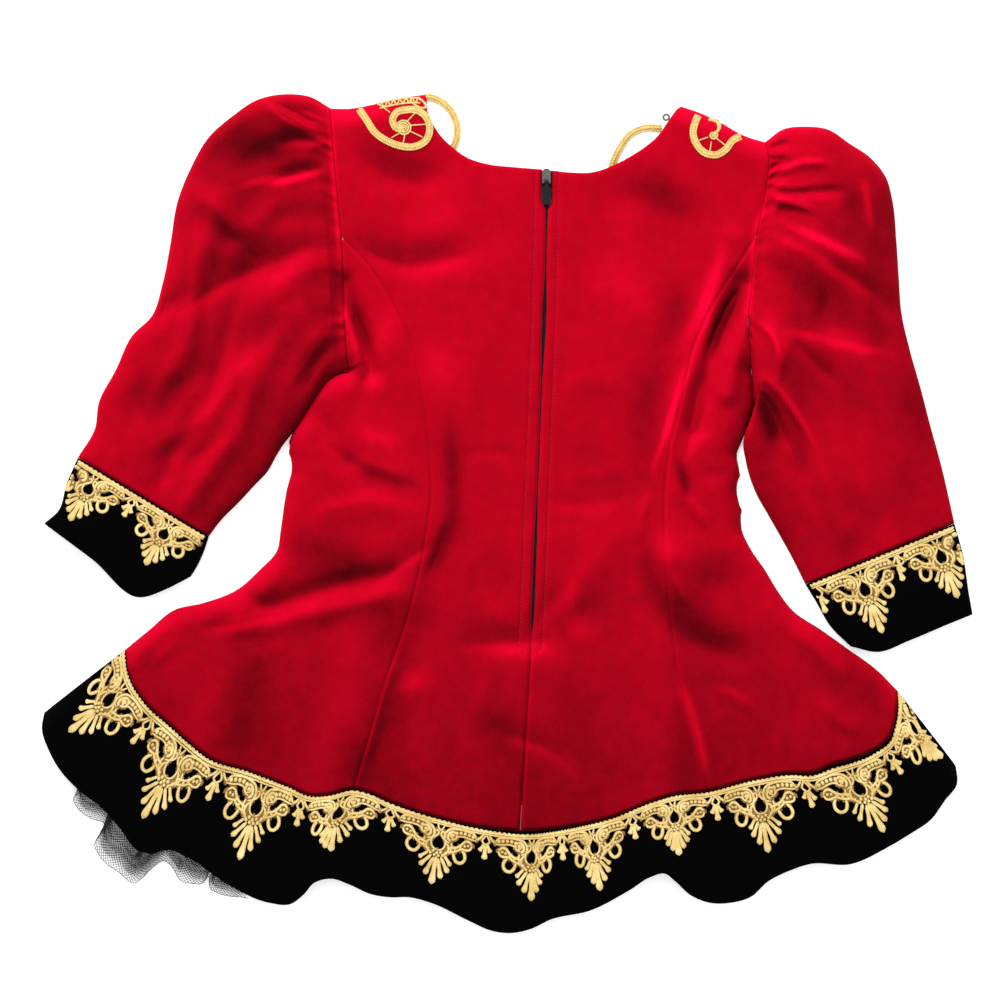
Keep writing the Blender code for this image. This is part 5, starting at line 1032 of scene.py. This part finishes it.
def lace_piece(name, middles, place_of, edge_from, edge_to, allowed):
    """Lace along an edge: each motif's strokes are set down by place_of(middle number, x, y), which gives
    points in plan and the height of the cloth there. Strokes that pass the edge's ends are left out."""
    sweeps = []
    for line, half, high, profile in motif_strokes():
        rows = [place_of(k, line[:, 0], line[:, 1]) for k in middles
                if allowed(k, line[:, 0].min()) and allowed(k, line[:, 0].max())]
        if rows:
            plan = np.array(rows)
            plan[..., 2] += 0.32 + high[None] + bumpy(plan[..., 0] + plan[..., 1], 0.12, 1.0)
            sweeps.append(sweep(plan, half[None], high[None], profile))
    run = np.arange(edge_from, edge_to, 1.3)
    for half, drop, scallop in ((0.95, 1.0, 0), (0.75, 2.7, 0), (0.55, 0.1, 0.5)):
        wave = drop + 0.16 * np.sin(run * 1.3) + scallop * np.cos(run * np.pi / 2)
        plan = place_of(None, run, wave)[None]
        plan[..., 2] += 0.35 + half
        size = half * (1 + 0.12 * np.sin(run * 2.4))[None]
        sweeps.append(sweep(plan, size, size, ROUND))
    points, faces, uv = gather_sweeps(sweeps)
    values = 0.24 + 0.05 * np.sin(points[:, 0] * 0.21) + 0.05 * np.sin(points[:, 1] * 0.33)
    lace = make_piece(name, points, faces, gold_thread, values=values, uv=uv)
    grid, quads = ground_cells()
    plans, cells = [], []
    for k in middles:
        spots = place_of(k, grid[:, 0], grid[:, 1])
        spots[:, 2] += 0.75
        inside = allowed(k, grid[quads, 0].min(axis=1)) & allowed(k, grid[quads, 0].max(axis=1))
        cells.append(quads[inside] + len(plans) * len(grid))
        plans.append(spots)
    spots, cells = np.vstack(plans), np.vstack(cells)
    used, flat = np.unique(cells, return_inverse=True)
    spots, cells = spots[used], flat.reshape(-1, 4)
    # The ground sits low on its ramp: painted shade between the cords.
    ground = make_piece(name + "_ground", spots, face_up(spots, cells), shaded_gold_ground,
                        values=0 * spots[:, 0] + 0.1, uv=spots[:, :2], wall=0.4)
    return lace, ground


deep_at = np.hypot(*(motif_tips - seam.at(seam_at[1:-1])).T)
edge_at = np.array([row[2] for row in HEM_MOTIFS])


def on_hem(k, x, y):
    """Motif plan to the hem: the number of the motif plus x over the pitch, and y down from the edge."""
    place = np.clip((0 if k is None else k) + np.asarray(x) / PITCH, BAND_FROM + .004, BAND_TO - .004)
    edge = np.maximum(np.interp(place, numbers, edge_at) - 1.9, 0.9)
    deep = np.interp(place, numbers, deep_at)
    plan = on_band(place, edge + np.asarray(y) * (deep - edge) / MOTIF_TIP)
    return np.column_stack((plan, back_top(plan)))


hem_lace, hem_ground = lace_piece("hem_scroll_lace", numbers, on_hem, BAND_FROM * PITCH + 0.5,
                                  BAND_TO * PITCH - 0.5,
                                  lambda k, x: (k + x / PITCH > BAND_FROM) & (k + x / PITCH < BAND_TO))
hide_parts("hem_lace")
# Lace on the cuffs: the place of each motif's middle along the seam from the outer edge, and how far below
# the seam its tip lies; then its pitch there, and how far the lace's edge lies below the seam
CUFF_MOTIFS = {"left": ((20.4, 45), (88.0, 44)), "right": ((20.0, 54), (84.0, 57))}
CUFF_PITCH, CUFF_LACE_EDGE = 68.0, 1.8
for side, motifs in CUFF_MOTIFS.items():
    wide, outer, inner = cuff_sides[side]
    start, end = np.array(CUFF_SEAM[side], float)
    along = (end - start) / wide
    way = np.array((along[1], -along[0])) * (1 if side == "left" else -1)
    middles, deeps = np.array(motifs, float).T

    def on_cuff(k, x, y):
        """Motif plan to the cuff: along its seam from the outer edge, and y down from the lace's edge."""
        x = np.asarray(x, float)
        run = x if k is None else middles[k] + x * CUFF_PITCH / PITCH
        reach = np.interp(run, middles, deeps) - CUFF_LACE_EDGE
        drop = CUFF_LACE_EDGE + np.asarray(y) * reach / MOTIF_TIP
        low, high = (np.interp(drop, (line.points - start) @ way, (line.points - start) @ along)
                     for line in (outer, inner))
        across = np.clip((run - low) / (high - low), 0.02, 0.98)
        plan = start + (low + across * (high - low))[:, None] * along + drop[:, None] * way
        return np.column_stack((plan, over_tube(across, CUFF_TOP)))

    def within(k, x):
        run = middles[k] + x * CUFF_PITCH / PITCH
        return (run > -0.02 * wide) & (run < 1.01 * wide)

    lace, ground = lace_piece("cuff_scroll_lace_" + side, (0, 1), on_cuff, 0.01 * wide, 0.99 * wide,
                              within)
    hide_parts("cuff_lace_" + side)


# BRAIDS
# Narrow gold braid of three plaited strands between two edge cords, sewn flat on the shoulders in open
# loops round a small rosette, and inside the neck edge, with thin corded bars across the loops.
NECK_BRAID_LEFT = ((-64.5, 321), (-59, 320.5), (-53, 318), (-45, 311), (-40, 300), (-40, 289),
                   (-44, 280), (-48, 276))
NECK_BRAID_RIGHT = ((118, 297), (105, 297), (94, 292), (87, 283), (81, 271), (78.3, 260.1))
SHOULDER_BRAID_LEFT = ((-115, 311), (-109, 302), (-103, 293), (-91, 285), (-82, 282), (-71, 282),
                       (-63.5, 286.5), (-60.5, 295), (-63, 304), (-70, 309.5), (-79, 310), (-86, 308),
                       (-89, 302), (-86, 296), (-80, 296))
SHOULDER_EDGING_LEFT = ((-99, 313.5), (-88, 316), (-76, 317.5), (-68, 317.5))
SHOULDER_BRAID_RIGHT = ((146, 306), (143.5, 300), (142, 292), (145, 283), (151, 277), (160, 275.5),
                        (167, 279.5), (173, 287), (179, 290))
SHOULDER_DROP_RIGHT = ((154, 303), (160.5, 301), (161.5, 295), (157, 290))
# Length of one turn of the plait, and how far the edge cords lie from the middle
BRAID_PITCH, BRAID_EDGE = 4.6, 2.05
pale_braid = thread_finish("pale gold braid, plaited rayon", "#6A4208", "#DDB456", "#FFF2B4", 1.3)


def braid_sweeps(route, level_of):
    """Five cords along a route: two at the edges, and three that swing from side to side a third of a
    turn apart, each high where it crosses over the others."""
    curve = Curve(route)
    t = np.linspace(0, 1, int(curve.length / 0.62))
    line = curve.at(t)
    square = ahead_of(line)[1]
    turn = t * curve.length / BRAID_PITCH * 2 * np.pi
    swing = [BRAID_EDGE + 0 * t, -BRAID_EDGE + 0 * t]
    swing += [1.15 * np.sin(turn + k * 2 * np.pi / 3) for k in range(3)]
    rise = [0.75 + 0 * t] * 2 + [0.95 + 0.6 * np.cos(2 * turn + k * 4 * np.pi / 3) for k in range(3)]
    size = [0.7 * (1 + 0.3 * np.sin(turn * 2.6))] * 2 + [0.74 * (1 + 0.3 * np.sin(turn * 2.2))] * 3
    base = level_of(line)
    paths = np.array([np.column_stack((line + square * way[:, None], base + high + 0.3))
                      for way, high in zip(swing, rise)])
    return sweep(paths, np.array(size), np.array(size), ROUND)


def cord_sweep(table, half, rings=14):
    """One thin round cord along a route, lying on the shoulder."""
    line = Curve(table).at(np.linspace(0, 1, rings))
    path = np.column_stack((line, back_top(line) + half + 0.3))[None]
    return sweep(path, half, half, ROUND)


def spiral(centre, radius, turns):
    """A route that winds out from a centre to a radius."""
    t = np.linspace(0.06, 1, 30)
    angle = t * turns * 2 * np.pi
    return np.array(centre) + (radius * t)[:, None] * np.column_stack((np.cos(angle), np.sin(angle)))


def lay_braid(name, node, sweeps):
    """One piece of braid from its cords, in place of the CAD's node."""
    points, faces, uv = gather_sweeps(sweeps)
    braid = make_piece(name, points, faces, pale_braid, uv=uv,
                       values=np.full(len(points), 0.2))
    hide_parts(node)


BARS_LEFT = (((-84, 292), (-90, 288.5)), ((-79.5, 291.5), (-81, 284.5)), ((-76.5, 294), (-66, 289)),
             ((-76, 298), (-63, 299)), ((-78, 301), (-72, 307.5)), ((-102, 316), (-96, 312), (-91, 308)))
BARS_RIGHT = (((153.5, 289), (145, 286)), ((156, 285.5), (155, 278.5)), ((160, 288), (166.5, 283)))
PETAL = ((-76, 319), (-71, 319.5), (-65.5, 316.5), (-63.5, 312), (-67, 311.5), (-72, 314), (-76, 318))
lay_braid("shoulder_scroll_left", "shoulder_braid_left",
          [braid_sweeps(SHOULDER_BRAID_LEFT, back_top),
           cord_sweep(spiral((-80.5, 296), 6.0, 3.4), 0.75, 60)]
          + [cord_sweep(bar, 0.5) for bar in BARS_LEFT])
lay_braid("shoulder_scroll_right", "shoulder_braid_right",
          [braid_sweeps(SHOULDER_BRAID_RIGHT, back_top)] + [cord_sweep(bar, 0.5) for bar in BARS_RIGHT])
t = np.linspace(0, 1, 90)
zigzag = Curve(SHOULDER_EDGING_LEFT).at(t)
zigzag[:, 1] += 1.9 * np.sin(t * 13 * np.pi)
lay_braid("shoulder_edge_left", "shoulder_edging_left",
          [cord_sweep(np.array(SHOULDER_EDGING_LEFT) + (0, shift), 0.7) for shift in (2.2, -2.0)]
          + [cord_sweep(zigzag[::4], 0.6, 70), cord_sweep(PETAL, 0.85, 36)])
lay_braid("shoulder_stem_right", "shoulder_drop_right",
          [cord_sweep(SHOULDER_DROP_RIGHT, 1.1, 24),
           cord_sweep(np.array(SHOULDER_DROP_RIGHT) + (1.5, 1.2), 0.6, 24),
           cord_sweep(spiral((157.5, 290.5), 3.4, 2.2), 0.75, 44)])
for side, route in (("left", NECK_BRAID_LEFT), ("right", NECK_BRAID_RIGHT)):
    base = float(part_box("neck_braid_" + side)[0][2]) * 1000
    lay_braid("neck_scroll_" + side, "neck_braid_" + side,
              [braid_sweeps(route, lambda line: np.full(len(line), base))])


# UNDERSKIRT NET
# Stiff black nylon net between the two layers of the skirt. It shows as a ruffled edge below the hem at
# the lower left: diamond mesh, drawn at 2.6 mm where real net has about 1.5 mm, so that it can be seen.
NET_EDGE = ((-331, -216), (-335, -219), (-332, -228), (-320, -236), (-312, -239), (-315, -247),
            (-319, -256), (-315, -265), (-302, -276), (-287, -285), (-283, -282), (-274, -273),
            (-266, -268), (-258, -275), (-254, -282), (-243, -286), (-237, -286), (-231, -280),
            (-230, -290), (-224, -293), (-201, -297))


def grained(name, settings, kind, layout, texture, stops, strength, depth):
    """A material whose colour and bump follow one texture: the colours by its value, and the bump's
    strength and depth in metres."""
    material, tree, shader = finish(name, settings)
    place = add_node(tree, "TexCoord", {}, {}).outputs["Object"]
    grain = add_node(tree, kind, layout, {"Vector": place, **texture}).outputs["Fac"]
    tree.links.new(ramp(tree, grain, stops), shader.inputs["Base Color"])
    bump = add_node(tree, "Bump", {}, {"Height": grain, "Strength": strength, "Distance": depth})
    tree.links.new(bump.outputs["Normal"], shader.inputs["Normal"])
    return material


black_net = grained("black nylon net", {"Roughness": 0.5, "Specular IOR Level": 0.4},
                    "TexNoise", {}, {"Scale": 900.0}, ((0.3, "#060607"), (0.7, "#1A1A1E")), 0.3, 0.0002)
net_edge = Curve(NET_EDGE)
net_inner = Curve(inside_of(hem.at(np.linspace(0.05, 0.268, 24)), 34.0))


def net_place(across, out, layer):
    """A point of the net: from its inner line to its edge, waved up and down towards the edge."""
    place = net_inner.at(across) * (1 - out)[..., None] + net_edge.at(across)[..., :2] * out[..., None]
    wave = np.sin(across * 2 * np.pi * 9 + layer * 2.0) * np.clip((out - 0.35) / 0.5, 0, 1)
    level = 3.4 + 1.7 * wave + 0.5 * layer
    return np.concatenate((place, level[..., None]), axis=-1)


NET_LAYERS, NET_THREAD = 3, 0.22
threads = []
along = np.linspace(0, 1, 24)
for layer in range(NET_LAYERS):
    for lean in (-1, 1):
        starts = np.arange(-0.32, 1.32, 0.0125) + 0.005 * layer
        across = starts[:, None] + lean * 0.3 * (along[None] - 0.5) * (1 + 0.02 * layer)
        out = np.tile(along[None] * (1 - 0.09 * layer), (len(starts), 1))
        inside = (across > 0) & (across < 1)
        path = net_place(np.clip(across, 0, 1), out, layer)
        for piece, keep in zip(path, inside):
            if keep.sum() > 3:
                threads.append(sweep(piece[keep][None], NET_THREAD, NET_THREAD, ROUND[::2]))
edge_line = net_place(np.linspace(0, 1, 180), np.ones(180), 0)[None]
threads.append(sweep(edge_line, 0.3, 0.3, ROUND[::2]))
points, faces, uv = gather_sweeps(threads)
net = make_piece("underskirt_mesh", points, faces, black_net, uv=uv)
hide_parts("underskirt_net")


# ZIP
# A black nylon coil zip in the centre back: woven tape with two rows of coil teeth under the slit, and the
# panels' edges turned under and topstitched 9 mm from it. The metal slider and its pull stand at the top.
TAPE_GRID, TAPE_HALF = (150, 9), 11.5
COIL_PITCH, COIL_THREAD = 1.3, 0.24
woven_tape = grained("black polyester zip tape, woven", {"Roughness": 0.7, "Specular IOR Level": 0.3},
                     "TexWave", {"wave_type": "BANDS", "bands_direction": "DIAGONAL"},
                     {"Scale": 400.0, "Distortion": 0.5}, ((0.2, "#010101"), (0.8, "#08080A")),
                     0.5, 0.0002)
v = np.linspace(0.001, SLIT_END, TAPE_GRID[0])
line = zip_line.at(v)
over = np.linspace(-TAPE_HALF, TAPE_HALF, TAPE_GRID[1]) * np.clip(v / 0.06, 0.4, 1.0)[:, None]
plan = line[:, None] + ahead_of(line)[1][:, None] * over[..., None]
points = np.dstack((plan, back_top(plan) - WALL - 0.55))
tape = make_piece("zip_tape_woven", points, face_up(points, grid_faces(*TAPE_GRID)), woven_tape,
                  wall=0.6)
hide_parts("zip_tape")
coils = []
for hand in (-1, 1):
    t = np.arange(0, zip_line.length * SLIT_END, 0.28)
    turn = t / COIL_PITCH * 2 * np.pi + (0 if hand > 0 else np.pi)
    line = zip_line.at(0.012 + t / zip_line.length)
    square = ahead_of(line)[1] * hand
    path = np.column_stack((line + square * (0.95 + 0.85 * np.cos(turn))[:, None],
                            back_top(line) - WALL - 0.1 + 0.55 * np.sin(turn)))
    coils.append(sweep(path[None], COIL_THREAD, COIL_THREAD, ROUND[::2]))
points, faces, uv = gather_sweeps(coils)
make_piece("zip_coil", points, faces, woven_tape)
stitch_thread = thread_finish("dark red sewing thread", "#3A0004", "#70000C", "#B00018", 0.3)
stitches = []
for hand in (-1, 1):
    middle = zip_line.at(np.arange(0.01, 0.72, 0.0062))
    ahead, square = ahead_of(middle)
    t = np.linspace(-1, 1, 6)
    out = hand * (STITCH_OUT + bumpy(np.arange(float(len(middle))), 0.35, hand)[:, None])
    places = (middle + square * out)[:, None] + ahead[:, None] * (1.15 * t)[None, :, None]
    path = np.dstack((places, back_top(places) - 0.62))
    size = 0.26 * np.sqrt(np.maximum(1 - t**2, 0.05))[None]
    stitches.append(sweep(path, size, size, ROUND))
base = zip_line.at(0.724)
for x in np.linspace(-STITCH_OUT, STITCH_OUT, 7):
    path = np.array([[base[0] + x + d, base[1] + 0.08 * x, 0.0] for d in np.linspace(-1.1, 1.1, 6)])
    path[:, 2] = back_top(path[:, :2]) - 0.3
    stitches.append(sweep(path[None], 0.24, 0.24, ROUND))
points, faces, uv = gather_sweeps(stitches)
make_piece("zip_topstitching", points, faces, stitch_thread,
           values=np.full(len(points), 0.2), uv=uv)
nickel = grained("nickel plated zinc, polished", {"Metallic": 1.0, "Roughness": 0.28},
                 "TexNoise", {}, {"Scale": 1500.0, "Detail": 4.0}, ((0.3, "#3C3B3A"), (0.7, "#8A8884")),
                 0.15, 0.0001)
ENAMEL = {"Roughness": 0.45, "Coat Weight": 0.1, "Coat Roughness": 0.2, "Specular IOR Level": 0.2}
material, tree, shader = finish("black enamelled zip pull", ENAMEL)
place = add_node(tree, "TexCoord", {}, {}).outputs["Object"]
speck = add_node(tree, "TexNoise", {}, {"Vector": place, "Scale": 1200.0}).outputs["Fac"]
tree.links.new(ramp(tree, speck, ((0.3, "#020202"), (0.75, "#0C0C0E"))), shader.inputs["Base Color"])
for node, metal in (("zip_slider", nickel), ("zip_pull", material), ("neck_eye", nickel)):
    for slot_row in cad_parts[node].material_slots:
        slot_row.material = metal


# FLOOR, LIGHT AND CAMERA
# The dress lies on a plain pale surface under a large soft light from beyond the neck, a little to the
# left, and the camera looks straight down at it. The surface gives off a little light of its own, so that
# it is as white as in the photo, and its grain is a faint mottle.
WHITE = (1.0, 1.0, 1.0, 1.0)
material, tree, shader = finish("matt white table", {"Roughness": 0.9, "Specular IOR Level": 0.1,
                                                     "Emission Color": WHITE, "Emission Strength": 0.3})
place = add_node(tree, "TexCoord", {}, {}).outputs["Object"]
grain = add_node(tree, "TexNoise", {}, {"Vector": place, "Scale": 40.0}).outputs["Fac"]
tree.links.new(ramp(tree, grain, ((0.3, "#F6F6F6"), (0.7, "#F8F8F8"))), shader.inputs["Base Color"])
mesh = bpy.data.meshes.new("table_top")
reach, level = 4.0, -0.0004
mesh.from_pydata([(-reach, -reach, level), (reach, -reach, level), (reach, reach, level),
                  (-reach, reach, level)], [], [(0, 1, 2, 3)])
mesh.materials.append(material)
floor = bpy.data.objects.new("table_top", mesh)
bpy.context.scene.collection.objects.link(floor)


def aimed(made, place, target):
    """Put a light at a place, turned so that it shines at the target."""
    way = Vector(target) - Vector(place)
    made.location = place
    made.rotation_euler = way.to_track_quat("-Z", "Y").to_euler()
    bpy.context.scene.collection.objects.link(made)


# Each lamp's name, place in metres, diameter in metres and power in watts
LAMPS = (("key", (-0.6, 1.9, 2.2), 1.3, 58.0), ("fill", (0.9, -1.8, 2.4), 2.6, 14.0))
for name, place, size, power in LAMPS:
    lamp = bpy.data.lights.new(name, "AREA")
    lamp.shape = "DISK"
    lamp.size = size
    lamp.energy = power
    aimed(bpy.data.objects.new(name, lamp), place, (0.0, 0.02, 0.0))
world = bpy.data.worlds.new("studio")
world.use_nodes = True
sky = world.node_tree.nodes["Background"].inputs
sky["Color"].default_value = WHITE
sky["Strength"].default_value = 0.98
bpy.context.scene.world = world
bpy.context.scene.view_settings.view_transform = "Standard"
# The photo's frame is 0.77 m wide at the height of the cloth
CAMERA_HIGH, FRAME_WIDE, CLOTH_HIGH = 3.0, 0.77, 0.008
lens = bpy.data.cameras.new("camera")
lens.sensor_width = 36.0
lens.lens = lens.sensor_width * (CAMERA_HIGH - CLOTH_HIGH) / FRAME_WIDE
lens.clip_end = 50.0
camera = bpy.data.objects.new("camera", lens)
camera.location = (-0.0065, 0.010, CAMERA_HIGH)
bpy.context.scene.collection.objects.link(camera)
bpy.context.scene.camera = camera
